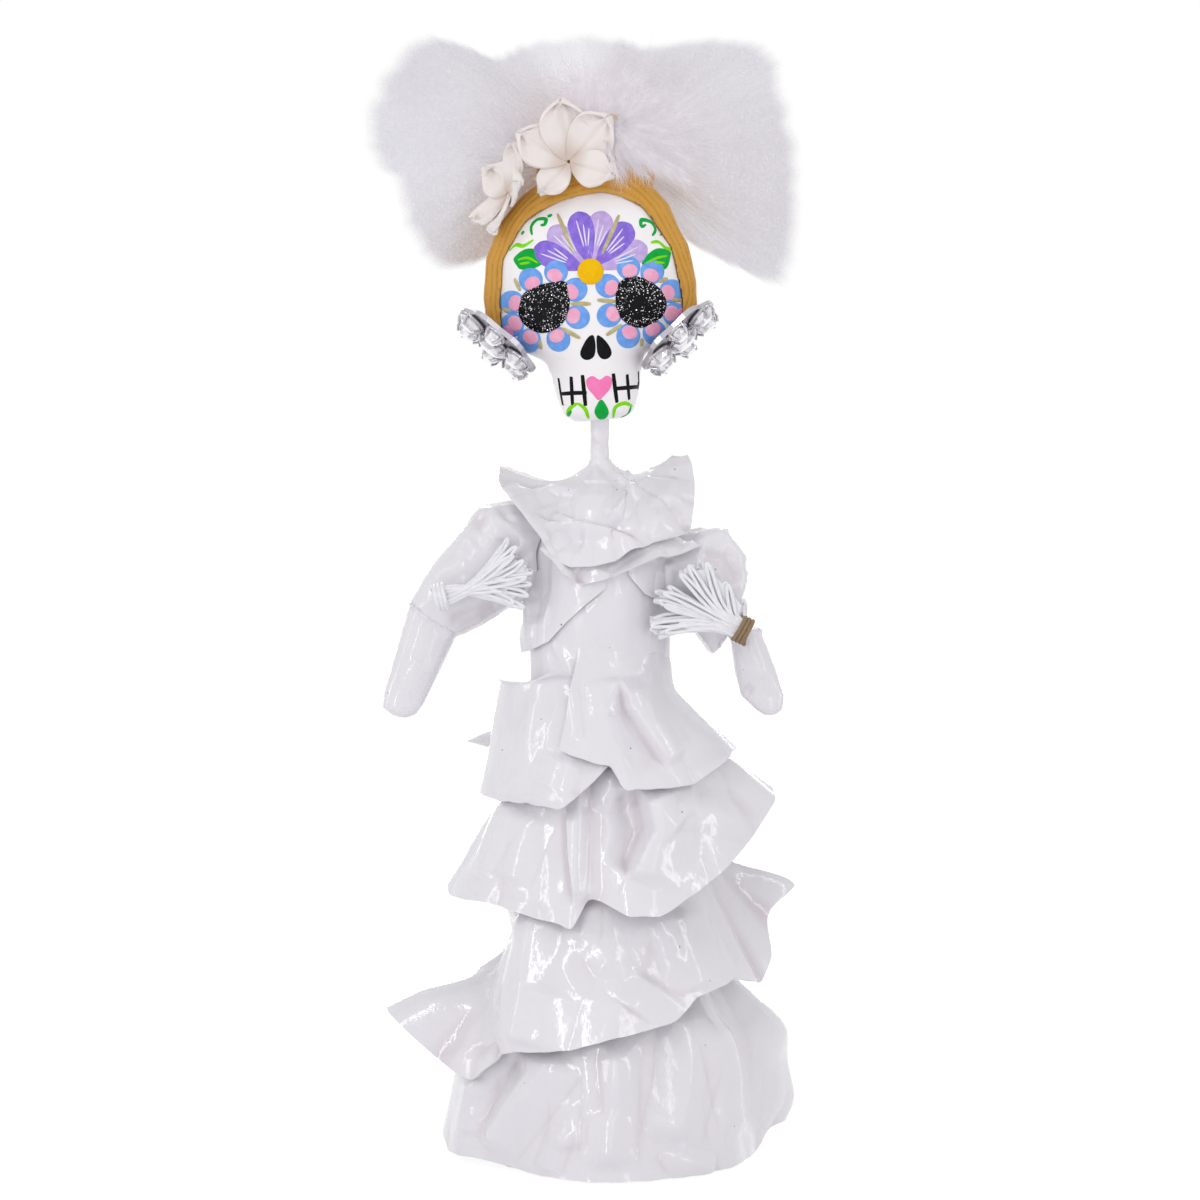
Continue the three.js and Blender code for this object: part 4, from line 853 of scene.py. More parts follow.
PEPLUM_RIGHT_FOLDS = [
    ("crest", [(612, 676), (616, 716)], 24, 1.2),
    ("valley", [(622, 690), (632, 728), (658, 770)], 18, 1.5),
    ("lip", [(620, 680), (628, 708), (646, 733), (670, 768)], 34, 2.6),
    ("crest", [(572, 683), (577, 740)], 6, 0.7),
    ("crest", [(690, 776), (732, 752)], 9, 0.6),
]

# Lapels: angle, fall of the top and of the foot from the bodice's top, and how far they stand off the bodice
LEFT_LAPEL = [
    (-176, 33, 41, 2.6), (-171, 30, 44.6, 2.6), (-160, 24, 44, 1.9), (-141, 20, 41.3, 1.3),
    (-123, 20, 36, 1.1), (-103, 20, 31, 1.0), (-84, 20, 27, 0.4),
]
RIGHT_LAPEL = [(-62, 18, 23.6, 0.6), (-48, 18, 28.6, 1.6), (-36, 18, 30.4, 1.9), (-22, 18, 32, 2.0)]
LEFT_LAPEL_FOLDS = [
    ("valley", [(538, 528), (542, 560), (541, 590), (531, 625)], 8, 1.2),
    ("crest", [(528, 596), (527, 645)], 7, 0.8),
]
RIGHT_LAPEL_FOLDS = [("crest", [(664, 570), (660, 600)], 6, 0.6)]
LAPEL_ROWS = 40
LAPEL_COLUMNS = 150
# Share of the full crease height and of its pitch
LAPEL_CREASE = (0.3, 0.7)


def lapel(node, stations, folds, seed):
    """A strip of paper pasted flat on the bodice, with a straight-cut foot."""
    degrees = np.linspace(stations[0][0], stations[-1][0], LAPEL_COLUMNS)
    top, foot, off = stations_at(stations, degrees)
    share = np.linspace(0, 1, LAPEL_ROWS)[:, None]
    angle = np.radians(degrees)
    height = BODICE_TOP - top - (foot - top) * share
    reach = bodice_reach(angle, height) + off * (0.6 + 0.4 * share)
    outward = outwards(angle, LAPEL_ROWS)
    grid = creased(round_grid(reach, angle, height), outward, -outward[..., 1], folds, seed, *LAPEL_CREASE)
    return paper_piece(node, grid, False, outward)


class BRIDE_OT_tiers(bpy.types.Operator):
    """Lays the three folded paper tiers of the skirt over the core"""

    bl_idname = "bride.tiers"
    bl_label = "Skirt tiers"

    def execute(self, context):
        hung_sheet("hem_skirt", HEM_FOLDS, seed=1, floor=1.6, calm=0.7)
        hung_sheet("lower_flounce", LOWER_FOLDS, seed=2)
        hung_sheet("middle_flounce", MIDDLE_FOLDS, seed=3)
        return {"FINISHED"}


class BRIDE_OT_peplum(bpy.types.Operator):
    """Lays the paper flaps of the peplum and the lapels"""

    bl_idname = "bride.peplum"
    bl_label = "Peplum and lapels"

    def execute(self, context):
        flap = dict(crease_share=0.6)
        hung_sheet("peplum_back", [], seed=4, rows=64, tab=7)
        hung_sheet("peplum_left", PEPLUM_LEFT_FOLDS, seed=5, rows=64, tuck=(4, -158, -134), **flap)
        hung_sheet("peplum_right", PEPLUM_RIGHT_FOLDS, seed=6, rows=72, tuck=(11, -181, -180), **flap)
        lapel("left_lapel", LEFT_LAPEL, LEFT_LAPEL_FOLDS, seed=7)
        lapel("right_lapel", RIGHT_LAPEL, RIGHT_LAPEL_FOLDS, seed=8)
        return {"FINISHED"}


# Collars: angle, inner reach, inner rise, outer reach, outer fall, in millimetres from the bodice's top
LOWER_COLLAR = [
    (-138, 14, -9, 21, 17), (-132, 13, -9, 21, 18.5), (-120, 11, -9, 20, 23.2),
    (-108, 9, -9, 18.4, 25.2), (-84, 8, -9, 17.6, 24.2), (-66, 9, -9, 19.4, 22.2), (-48, 11, -9, 22.4, 19.4),
    (-24, 13, -9, 26.5, 17.4), (-18, 13, -9, 27.4, 17.2),
]
UPPER_COLLAR = [
    (-180, 6, 2.4, 26.8, -1.2), (-174, 6, 2.2, 25.8, 1.6), (-168, 6, 2, 24.2, 4.6), (-156, 6, 1.6, 22.5, 8.2),
    (-138, 5.6, 1.2, 20.8, 14.4), (-126, 5.4, 1, 20.2, 19.4), (-114, 5.4, 1, 19.4, 21.2),
    (-96, 5.4, 1, 18.6, 20.9), (-78, 5.4, 1, 18.8, 19.6), (-66, 5.4, 1, 19.6, 17), (-48, 5.6, 1.2, 21, 14),
    (-24, 6, 1.6, 25.7, 11.5), (-12, 6, 2.2, 25.3, 5.5),
    (0, 6, 3, 25, -0.6), (6, 6, 3.4, 24.5, -5), (12, 6, 3.6, 24, -6.8), (18, 6, 3.6, 20, -7.2),
    (36, 5.6, 3, 17, -1.4), (60, 5.6, 2, 15.5, 3.6), (90, 5.6, 1.4, 15, 5.6), (120, 5.6, 2, 15.5, 3.6),
    (150, 5.6, 2.6, 20, -1.4), (162, 6, 2.8, 24.5, -4.2), (174, 6, 2.8, 26.6, -4.4),
]
# Bodice: height above its foot, half width, half depth
BODICE_ROWS = [(0, 18.6, 13.4), (26, 19, 14.6), (37, 19, 14.6), (46, 16, 11.4), (52, 9, 7.6), (55, 4.4, 4.4)]
LOWER_COLLAR_FOLDS = [
    ("crest", [(545, 556), (556, 578), (580, 600)], 14, 1.6),
    ("valley", [(572, 575), (598, 588), (612, 600)], 14, 1.6),
    ("crest", [(612, 590), (636, 572), (668, 556)], 11, 1.4),
    ("valley", [(640, 590), (666, 572)], 10, 1.0),
    ("crest", [(688, 540), (706, 562)], 11, 1.2),
]
UPPER_COLLAR_FOLDS = [
    ("valley", [(560, 486), (556, 500), (552, 522)], 18, 2.0),
    ("crest", [(503, 486), (525, 515), (545, 545)], 14, 1.6),
    ("valley", [(530, 484), (545, 506)], 9, 0.6),
    ("lip", [(640, 541), (607, 527), (590, 523), (575, 520), (553, 506)], 20, 1.8),
    ("valley", [(548, 540), (562, 534), (586, 538)], 14, 1.5),
    ("lip", [(612, 472), (627, 488), (607, 522)], 16, 1.1),
    ("crest", [(632, 486), (612, 518)], 11, 1.4),
    ("valley", [(591, 455), (606, 472), (618, 488), (600, 520)], 5, 0.5),
    ("crest", [(640, 472), (656, 500), (662, 532)], 18, 1.6),
    ("crest", [(670, 446), (673, 480), (671, 512)], 20, 2.4),
    ("valley", [(680, 502), (696, 502)], 4, 0.5),
    ("valley", [(640, 552), (652, 538), (694, 522)], 12, 1.6),
]
# The collar's inner band climbs the neck: reach and rise from the bodice's top
NECK_BAND = (3.0, 6.2)
NECK_BAND_ROWS = 12
COLLAR_ROWS = 46
COLUMNS_PER_DEGREE = 2
# How far a collar's raised wing sags, how much its outer face looks upwards, and its crease height and pitch
WING_SAG = 3.0
COLLAR_LEAN = 0.6
COLLAR_CREASE = (0.5, 0.7)


def bodice_reach(angle, height):
    """The bodice's radius at an angle and at heights above the table, in millimetres."""
    half_width, half_depth = stations_at(BODICE_ROWS, height - BODICE_FOOT)
    return 1 / np.hypot(np.cos(angle) / half_width, np.sin(angle) / half_depth)


def collar(node, stations, ring, folds, seed, clearance):
    """A folded paper collar from its stations, with small creases and the folds of the photograph."""
    if ring:
        stations = stations + [(stations[0][0] + 360,) + stations[0][1:]]
    span = stations[-1][0] - stations[0][0]
    count = span * COLUMNS_PER_DEGREE + (0 if ring else 1)
    degrees = stations[0][0] + np.arange(count) * span / (count if ring else count - 1)
    inner, rise, outer, fall = stations_at(stations, degrees)
    share = np.linspace(0, 1, COLLAR_ROWS)[:, None]
    angle = np.radians(degrees)
    height = BODICE_TOP + rise + (-fall - rise) * share
    height = height - WING_SAG * np.sin(math.pi * share ** 0.8) * smoothstep(-fall, -4, 2)
    reach = np.maximum(inner + (outer - inner) * share, bodice_reach(angle, height) + clearance)
    if ring:
        climb = np.linspace(0, 1, NECK_BAND_ROWS, endpoint=False)[:, None]
        band_top = BODICE_TOP + NECK_BAND[1]
        reach = np.concatenate([NECK_BAND[0] + (reach[:1] - NECK_BAND[0]) * climb ** 1.4, reach])
        height = np.concatenate([band_top + (height[:1] - band_top) * climb ** 0.8, height])
    grid = round_grid(reach, angle, height)
    normals = grid_normals(grid, ring)
    outward = outwards(angle, len(reach), COLLAR_LEAN)
    normals *= np.sign(np.einsum("rck,rck->rc", normals, outward))[..., None]
    facing = np.maximum(-normals[..., 1], 0.5 * normals[..., 2])
    return paper_piece(node, creased(grid, normals, facing, folds, seed, *COLLAR_CREASE), ring, outward)


class BRIDE_OT_collars(bpy.types.Operator):
    """Folds the two paper collars round the shoulders"""

    bl_idname = "bride.collars"
    bl_label = "Collars"

    def execute(self, context):
        collar("lower_collar", LOWER_COLLAR, False, LOWER_COLLAR_FOLDS, seed=9, clearance=0.4)
        collar("upper_collar", UPPER_COLLAR, True, UPPER_COLLAR_FOLDS, seed=10, clearance=1.6)
        return {"FINISHED"}


# Pieces that keep their solid's form: redrawn finely, rounded and given relief

def mesh_points(mesh):
    """The points of a mesh and their normals."""
    count = len(mesh.vertices)
    points, normals = np.empty(count * 3), np.empty(count * 3)
    mesh.vertices.foreach_get("co", points)
    mesh.vertex_normals.foreach_get("vector", normals)
    return points.reshape(-1, 3), normals.reshape(-1, 3)


def softened(node, name, voxel, rounds, relief, lift=None):
    """A fine rounded copy of a node. `relief` gives metres to push each point out and its painted fold
    shade, and `lift` metres to raise it."""
    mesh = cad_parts[node].data.copy()
    shell = bmesh.new()
    shell.from_mesh(mesh)
    bmesh.ops.remove_doubles(shell, verts=shell.verts[:], dist=0.01 * MM)
    shell.to_mesh(mesh)
    shell.free()
    piece = bpy.data.objects.new(name, mesh)
    bpy.context.scene.collection.objects.link(piece)
    remesh = piece.modifiers.new("fine", "REMESH")
    remesh.mode = "VOXEL"
    remesh.voxel_size = voxel * MM
    smooth = piece.modifiers.new("rounded", "SMOOTH")
    smooth.factor = 0.5
    smooth.iterations = rounds
    view = bpy.context.evaluated_depsgraph_get()
    shown = piece.evaluated_get(view)
    fine = bpy.data.meshes.new_from_object(shown, preserve_all_data_layers=False, depsgraph=view)
    piece.modifiers.clear()
    piece.data = fine
    points, normals = mesh_points(fine)
    out, tint = relief(points, normals)
    points = points + normals * out[:, None]
    if lift:
        points[:, 2] += lift(points)
    fine.vertices.foreach_set("co", points.ravel())
    fine.update()
    return piece, tint


# Fold depth in millimetres for the full painted shade, and the most painted shade of folds and of creases
FORM_FOLD = 2
FORM_SHADES = (0.4, 0.2)
# Rounds of smoothing
PAPER_ROUNDS = 4


def paper_relief(folds, seed, pitch_share, height_share, back_share=0.0, reach_way=None, reach=0):
    """Relief of pasted paper: its creases, higher at the back by `back_share`, and its folds. The end that
    looks along `reach_way` is drawn out by `reach` millimetres."""
    paper = bpy.context.scene.bride_paper

    def relief(points, normals):
        height = paper.crease * (height_share + back_share * smoothstep(normals[:, 1], 0.1, 0.6))
        out = creases(points, paper.crease_pitch * pitch_share, seed) * height
        pressed = fold_relief(points, -normals[:, 1], folds)
        # Painted shade: pressed folds and the low sides of creases get the lilac fold tint
        tint = np.clip(-pressed / (FORM_FOLD * MM), 0, FORM_SHADES[0])
        tint = tint + np.clip(-out / (FORM_FOLD * MM), 0, FORM_SHADES[1])
        if reach_way:
            out = out + reach * MM * smoothstep(normals @ unit(np.array(reach_way)), 0.3, 1.0)
        return out + pressed, tint

    return relief


def paper_form(node, folds, seed, voxel, **relief):
    """Pasted paper over a solid's own form."""
    piece, tint = softened(node, node + "_paper", voxel, PAPER_ROUNDS, paper_relief(folds, seed, **relief))
    return dressed(piece, "dipped_paper", "lacquered_paper", [node], 50, {"fold": tint})


BODICE_FOLDS = [
    ("lip", [(548, 641), (570, 680), (572, 712)], 12, 0.5),
    ("valley", [(580, 612), (602, 585)], 6, 0.5),
    ("crest", [(611, 665), (622, 690)], 6, 0.5),
    ("valley", [(652, 650), (668, 690)], 8, 0.6),
]
LEFT_SLEEVE_FOLDS = [
    ("crest", [(455, 545), (486, 537), (500, 510)], 9, 1.3),
    ("valley", [(478, 512), (486, 535), (474, 545)], 9, 1.1),
    ("crest", [(508, 520), (497, 540)], 8, 0.9),
    ("crest", [(430, 580), (470, 560)], 9, 0.8),
    ("valley", [(448, 622), (500, 606)], 9, 0.9),
]
RIGHT_SLEEVE_FOLDS = [
    ("crest", [(692, 545), (725, 534), (747, 566)], 9, 1.4),
    ("valley", [(700, 556), (722, 560), (738, 585)], 10, 1.4),
    ("crest", [(668, 560), (668, 590)], 7, 1.0),
    ("crest", [(715, 655), (722, 645)], 6, 0.6),
]
LEFT_FOREARM_FOLDS = [
    ("crest", [(441, 620), (450, 640)], 6, 0.5),
    ("valley", [(447, 615), (456, 636)], 6, 0.5),
    ("crest", [(436, 655), (428, 675)], 7, 0.4),
]
RIGHT_FOREARM_FOLDS = [
    ("valley", [(742, 688), (752, 694)], 7, 0.5),
    ("crest", [(746, 640), (764, 680)], 9, 0.4),
]
NECK_FOLDS = [
    ("valley", [(588, 440), (608, 452)], 5, 0.35),
    ("valley", [(588, 425), (608, 432)], 5, 0.3),
]


class BRIDE_OT_bodice(bpy.types.Operator):
    """Covers the bodice and the neck with pasted paper"""

    bl_idname = "bride.bodice"
    bl_label = "Bodice and neck"

    def execute(self, context):
        pasted = dict(pitch_share=1.1, height_share=0.3, back_share=1.0)
        paper_form("bodice", BODICE_FOLDS, 11, voxel=0.9, **pasted)
        paper_form("neck_wrap", NECK_FOLDS, 12, voxel=0.4, pitch_share=0.5, height_share=0.5)
        return {"FINISHED"}


class BRIDE_OT_arms(bpy.types.Operator):
    """Crumples the paper sleeves and smooths the mitten forearms"""

    bl_idname = "bride.arms"
    bl_label = "Sleeves and forearms"

    def execute(self, context):
        sleeve = dict(voxel=0.55, pitch_share=0.6, height_share=1.3)
        paper_form("left_puff_sleeve", LEFT_SLEEVE_FOLDS, 13, **sleeve)
        paper_form("right_puff_sleeve", RIGHT_SLEEVE_FOLDS, 14, **sleeve)
        forearm = dict(voxel=0.5, pitch_share=0.8, height_share=0.4)
        paper_form("left_forearm", LEFT_FOREARM_FOLDS, 15, reach_way=(0.35, 0, 1), reach=1.6, **forearm)
        paper_form("right_forearm", RIGHT_FOREARM_FOLDS, 16, reach_way=(-0.35, 0, 1), reach=2, **forearm)
        return {"FINISHED"}


# Cords, in millimetres

# Radius of a cord, and the length of one turn of its plies
CORD = (0.5, 9)
TIE = (0.6, 2.2)
PLIES = 2
PLY_DEPTH = 0.07
# Strength of the painted shade in the grooves between plies
PLY_SHADE = 0.35
CORD_SIDES = 10
# A hank: where it is gathered, its back, its depth, and the ends of its loops (x, fall from the bodice's top)
LEFT_HANK = dict(gather=(-42.5, 29.6), back=-11.65, depth=5, ends=(
    (-24.5, 15), (-21.5, 16.4), (-26, 18.4), (-22.5, 19), (-19.5, 20.4), (-18.2, 22.6), (-18.6, 25),
    (-21, 25.4), (-19.6, 28.4), (-25, 28.6), (-23, 31), (-20.6, 32),
))
RIGHT_HANK = dict(gather=(38.2, 38.4), back=-11.1, depth=6, ends=(
    (37.4, 31), (33.4, 26), (28.4, 21), (26.2, 20.8), (24, 21.4), (22, 22.6), (15.4, 28.4), (17.4, 27.4),
    (14.8, 30.2), (19.4, 29.2), (16.6, 31), (20.8, 36.8), (13.6, 35.4), (14, 37.6), (18, 38.6), (15.2, 39.2),
))
# Which loops are painted together
LEFT_BUNDLES = ((0, 7), (6, 12))
RIGHT_BUNDLES = ((0, 6), (6, 11), (11, 16))
# Loops that share an end, how far apart they come to lie there, and how they lie side by side on the way
LOOPS_EACH = 4
LOOP_SCATTER = 0.7
LOOP_HALF_WIDTH = 0.5
LOOP_OPENS = (0.12, 0.75)
LOOP_STEPS = 64
STRAND_GAP = 0.5
STRAND_WAVE = 0.3
HANK_NECK_WIDTH = 2.8
LOOSE_NECK_WIDTH = 4.2
# The dried paint between the strands: from and to which share of their length, and half its thickness
WEB_REACH = (0.08, 0.95)
WEB_ROWS = 24
WEB_THICKNESS = 0.3
WEB_DEPTH = 0.7
TIE_OFFSET = 1.8
TIE_TURNS = 3
TIE_PITCH = 1.05
TIE_STEPS = 28


def hank_course(gather, ends):
    """The ends of a hank's loops from where it is gathered, and the way that it runs."""
    offsets = np.array([(x - gather[0], gather[1] - fall) for x, fall in ends])
    return offsets, unit(offsets.sum(axis=0))


def hank_spine(end, course, share):
    """Where a loop runs from the tie to its end, and which way, at shares of its length."""
    bend = course * np.linalg.norm(end) / 2
    spine = 2 * share * (1 - share) * bend + share * share * end
    return spine, unit(2 * (1 - share) * bend + 2 * share * (end - bend) + 1e-6 * course)


def hank_web(bundles, gather, ends, back, depth):
    """The dried paint between the strands of a hank: one thin fan for each of its bundles."""
    offsets, course = hank_course(gather, ends)
    share = np.linspace(*WEB_REACH, WEB_ROWS)[:, None]
    vertices, faces = [], []
    for first, last in bundles:
        fan = sorted(offsets[first:last], key=lambda end: math.atan2(*end))
        spines = np.stack([hank_spine(end, course, share)[0] for end in fan], axis=1)
        across = np.full(spines.shape[:2], back - WEB_DEPTH * depth)
        grid = np.stack([gather[0] + spines[..., 0], across, BODICE_TOP - gather[1] + spines[..., 1]], -1)
        half = np.array((0, WEB_THICKNESS, 0))
        points, made = closed_sheet((grid - half) * MM, (grid + half) * MM, False)
        faces += (made + len(vertices)).tolist()
        vertices += list(points)
    return vertices, faces


def hank_loops(gather, ends, back, depth):
    """One path for each loop of a hank, in metres. Loops lie in layers and start side by side in the tie."""
    offsets, course = hank_course(gather, ends)
    offsets = np.repeat(offsets, LOOPS_EACH, axis=0)
    every = np.arange(len(offsets))
    offsets = offsets + LOOP_SCATTER * np.stack([np.sin(4.3 * every), np.cos(2.9 * every)], -1)
    turn = 2 * math.pi * np.linspace(0, 1, LOOP_STEPS)[:, None]
    share = (1 - np.cos(turn)) / 2
    paths = []
    for k, end in enumerate(offsets):
        spine, way = hank_spine(end, course, share)
        neck = (k / (len(offsets) - 1) - 0.5) * LOOSE_NECK_WIDTH
        wave = STRAND_WAVE * np.sin(3 * turn + 2.1 * k) * np.sin(turn / 2)
        side = neck * (1 - share) - STRAND_GAP * np.cos(turn / 2) + wave
        side = side - LOOP_HALF_WIDTH * smoothstep(share, *LOOP_OPENS) * np.sin(turn)
        layer = ((11 * k) % len(offsets) + 0.4 * turn / (2 * math.pi)) * depth / (len(offsets) + 1)
        paths.append(np.concatenate([
            gather[0] + spine[:, :1] - way[:, 1:] * side,
            back - layer,
            BODICE_TOP - gather[1] + spine[:, 1:] + way[:, :1] * side,
        ], axis=1) * MM)
    return paths


def tie_path(gather, ends, back, depth):
    """Points of the winding round the neck of a hank, in metres."""
    _, course = hank_course(gather, ends)
    steps = np.arange(TIE_TURNS * TIE_STEPS + 1) / TIE_STEPS
    turn = 2 * math.pi * steps
    out = -1 + TIE_PITCH * steps
    side = (HANK_NECK_WIDTH / 2 + TIE_OFFSET) * np.cos(turn)
    return MM * np.stack([
        gather[0] + course[0] * out - course[1] * side,
        back - depth / 2 + (depth / 2 + TIE_OFFSET) * np.sin(turn),
        BODICE_TOP - gather[1] + course[1] * out + course[0] * side,
    ], -1)


def plied_cords(name, paths, radius, lay, finish, slot, node):
    """Twisted cords along paths; `lay` is the length of one turn of their plies, whose grooves get
    painted shade.
    """
    angle = turns(CORD_SIDES)
    round_way, round_up = np.cos(angle)[:, None], np.sin(angle)[:, None]
    vertices, tint, faces = [], [], []
    for path in paths:
        tangent = unit(np.gradient(path, axis=0))
        across = np.cross((0, 1, 0), tangent[0])
        spans = np.concatenate([[0], np.cumsum(np.linalg.norm(np.diff(path, axis=0), axis=1))])
        faces += tube_faces(len(vertices) * CORD_SIDES, len(path), CORD_SIDES)
        for point, way, travelled in zip(path, tangent, spans):
            across = unit(across - way * (across @ way))
            up = np.cross(way, across)
            ply = np.abs(np.cos(PLIES / 2 * (angle - 2 * math.pi * travelled / (lay * MM))))
            reach = radius * MM * (1 - PLY_DEPTH + PLY_DEPTH * ply)[:, None]
            vertices.append(point + (round_way * across + round_up * up) * reach)
            # Painted shade, darkest where two plies meet
            tint.append(PLY_SHADE * np.clip(1 - 2.4 * ply, 0, 1))
    tints = {"fold": np.concatenate(tint)}
    return new_piece(name, np.concatenate(vertices), faces, finish, slot, [node], 70, tints)


class BRIDE_OT_hanks(bpy.types.Operator):
    """Winds the painted cord hanks at the elbows and ties them"""

    bl_idname = "bride.hanks"
    bl_label = "Cord hanks"

    def execute(self, context):
        painted, twine = ("stiffened_cord", "painted_cord"), ("jute_twine", "brown_twine")
        for side, hank, bundles, tie in (
            ("left", LEFT_HANK, LEFT_BUNDLES, painted), ("right", RIGHT_HANK, RIGHT_BUNDLES, twine),
        ):
            plied_cords(side + "_hank", hank_loops(**hank), *CORD, *painted, side + "_cord_hank")
            new_piece(side + "_hank_paint", *hank_web(bundles, **hank), *painted)
            plied_cords(side + "_tie", [tie_path(**hank)], *TIE, *tie, side + "_elbow_tie")
        return {"FINISHED"}


# Skull and its paint. Places are photo pixels, cast from the camera on to the modelled skull.

FACE_CENTRE = (592, 310)
DISC_CENTRE = np.array((590.5, 271.6))
DISC_RADIUS = 13
# Forehead petals: paint, angle, reach and width
CROWN_PETALS = [
    ("purple_paint", 157, 61, 26), ("lilac_paint", 132, 60, 26), ("purple_paint", 102, 61, 27),
    ("lilac_paint", 78, 62, 27), ("purple_paint", 49.5, 62, 27), ("lilac_paint", 24, 62, 26),
]
# A petal's half outline and the three white streaks on it: shares of its reach and of its width
PETAL_SHAPE = ((0.1, 0), (0.3, 0.28), (0.55, 0.46), (0.78, 0.5), (0.93, 0.36), (1.0, 0.1))
PETAL_STREAKS = ((0.86, -0.12), (0.78, 0.1), (0.7, 0.28))
STREAK_ROOT = (0.42, 0.4)
LEFT_EYE = [
    (519, 306), (523.7, 294), (535.9, 286.3), (551.2, 282.6), (565, 281.7), (569, 291), (569.6, 304.7),
    (565.9, 318.4), (555.8, 329.2), (540.5, 332.8), (526.7, 326.1), (520, 316.9),
]
RIGHT_EYE = [
    (615.5, 298.5), (617, 286.3), (624.7, 278.6), (635.4, 276.5), (646.1, 279.6), (656.8, 286.3),
    (664.5, 295.5), (666, 306.2), (661.4, 316.9), (650.7, 324.6), (638.4, 327.6), (626.2, 323), (617, 312.3),
]
LEFT_EYE_CENTRE = np.array((544.7, 306.8))
RIGHT_EYE_CENTRE = np.array((640.4, 302))
LEFT_EYE_PETALS = [
    (532.5, 283), (555, 275), (572, 291.5), (574, 316), (557, 336), (530.5, 337.5), (515, 323.5),
    (515.5, 303),
]
RIGHT_EYE_PETALS = [
    (629.5, 270.5), (651, 275), (668, 292.5), (671.5, 313.5), (653, 329.5), (629.5, 332.5), (612.5, 314),
    (611, 287.5),
]
# Round each eye: how far blue and pink petals lie from their places, and their radii
BLUE_PETAL = (3.6, (12.6, 12))
PINK_PETAL = (-0.5, (6.8, 8))
BLUSH = [((681, 318), (5, 11)), ((508, 334), (6, 9))]
LEAVES = [
    [
        (513.6, 258), (523.7, 249.6), (534.4, 249), (537.4, 257.2), (542, 264), (531.3, 269.5),
        (520.6, 269.5), (516, 264.9),
    ],
    [
        (641.5, 264), (647.6, 254.2), (658.3, 248), (670, 251), (670.6, 257.2), (666.9, 268), (658.3, 271),
        (650.7, 266.4),
    ],
]
LEAF_VEINS = [
    [(518, 260), (528, 258), (538, 263)], [(520, 264), (530, 262.5)],
    [(667, 256), (657, 258), (646, 263)], [(664, 263), (654, 262.5)],
]
LIME_STROKES = [
    [(509.3, 251.1), (516, 245), (523.7, 245.9), (533.5, 239.8)],
    [(650.7, 242.8), (658.3, 241.9), (666, 248), (673.6, 249.6)],
    [(577.2, 403.2), (584.9, 408.7), (588.5, 418.5)],
    [(566.5, 414.5), (570.2, 408.1), (577.2, 403.2)],
    [(613.3, 417.5), (615.5, 407.2), (624.7, 403.2), (632.5, 406.3)],
]
GREEN_STROKES = [
    [(532.2, 235.2), (531.3, 226.6), (537.4, 219.5), (545.7, 219.3), (544.5, 224.5), (540.5, 225)],
    [(652.2, 235.8), (655.3, 229.7), (650.7, 222), (641.5, 220), (641.5, 226.6), (646, 224.5)],
    [(521.5, 234.5), (524, 231)], [(547.5, 217), (552, 214.5)], [(660.3, 234), (661.3, 235.5)],
    [(567.5, 416), (571, 410)], [(631, 406), (628.3, 413.3), (620.5, 417.5)],
]
CHIN_DROP = [
    (601.1, 399.5), (595.6, 407.2), (594.7, 413.3), (598.6, 419), (604.8, 419), (608.7, 413.5),
    (606.9, 406.3),
]
GOLD_STROKES = [
    [(557.5, 214), (565, 232), (573, 253)], [(619, 215), (612, 232), (602, 254)],
    [(514.5, 278.6), (520.6, 290.9)], [(502.8, 309.3), (511.4, 310.8)], [(571.1, 303.8), (591, 303.8)],
    [(561.9, 328.2), (580.3, 338.3)], [(597.1, 300), (615.5, 301.6)], [(606.3, 335.3), (621.6, 324.6)],
    [(641.5, 346), (641.5, 338.3)], [(667.5, 278.6), (658.3, 281.7)], [(682, 300), (670.6, 300)],
    [(540, 340), (541, 349)],
]
NOSE = [
    [
        (593.4, 335.3), (595.6, 344.5), (594.7, 355.2), (589.5, 359.8), (583.3, 359.2), (580, 353.6),
        (583.3, 344.5), (588.5, 336.8),
    ],
    [
        (597.1, 335.3), (603.2, 338.3), (609.4, 346), (611.8, 353.6), (607.8, 358.8), (601.7, 358.8),
        (597.7, 353.6), (596.5, 344.5),
    ],
]
STITCHES = [
    [(558.5, 378.1), (560.5, 392), (562.8, 405)], [(571.1, 376.6), (572.6, 405.7)],
    [(582.4, 375), (585.5, 405.7)], [(560.3, 394), (574, 393), (586.7, 392.8)],
    [(613.3, 373.5), (615, 388), (617, 402.6)], [(627.1, 374.4), (629.2, 399.5)],
    [(638.3, 371.5), (639.3, 391)], [(614, 388.8), (639.3, 386.7)],
]
HEART = [
    (599.6, 379.7), (592.5, 376), (586.4, 379.7), (587.3, 387.3), (593.4, 395), (598.6, 400.2), (604.8, 395),
    (610.9, 387.3), (611.8, 378.7), (606.3, 375.7),
]
# A dab of paint: its rings as shares of its outline, and their heights as shares of a coat
DAB_RINGS = ((1.0, -0.35), (0.93, 0.75), (0.78, 1.0), (0.5, 1.0), (0.25, 1.0))
DAB_ROOT = 1.5
OVAL_POINTS = 14
STROKE_SIDES = 8
CAST_STEPS = 40
# Strokes: their paint, lines and width, and how they lie on the coats below
STROKES = [
    ("gold_paint", GOLD_STROKES, 4.2, dict(layer=1.2, steps=14)),
    ("lime_paint", LEAF_VEINS, 2.6, dict(layer=1.2, steps=12)),
    ("leaf_paint", GREEN_STROKES, 4.4, dict(layer=0.2)),
    ("lime_paint", LIME_STROKES, 4.2, dict(layer=0.2)),
    ("black_paint", STITCHES, 4.2, dict(layer=0.2, blunt=0.75)),
]
# Dabs: their paint and outlines, the coats below them and the points round them
DABS = [
    ("leaf_paint", LEAVES, 0.2, 40), ("leaf_paint", [CHIN_DROP], 0.4, 40), ("black_paint", NOSE, 0.2, 40),
    ("heart_paint", [HEART], 0.6, 48),
]
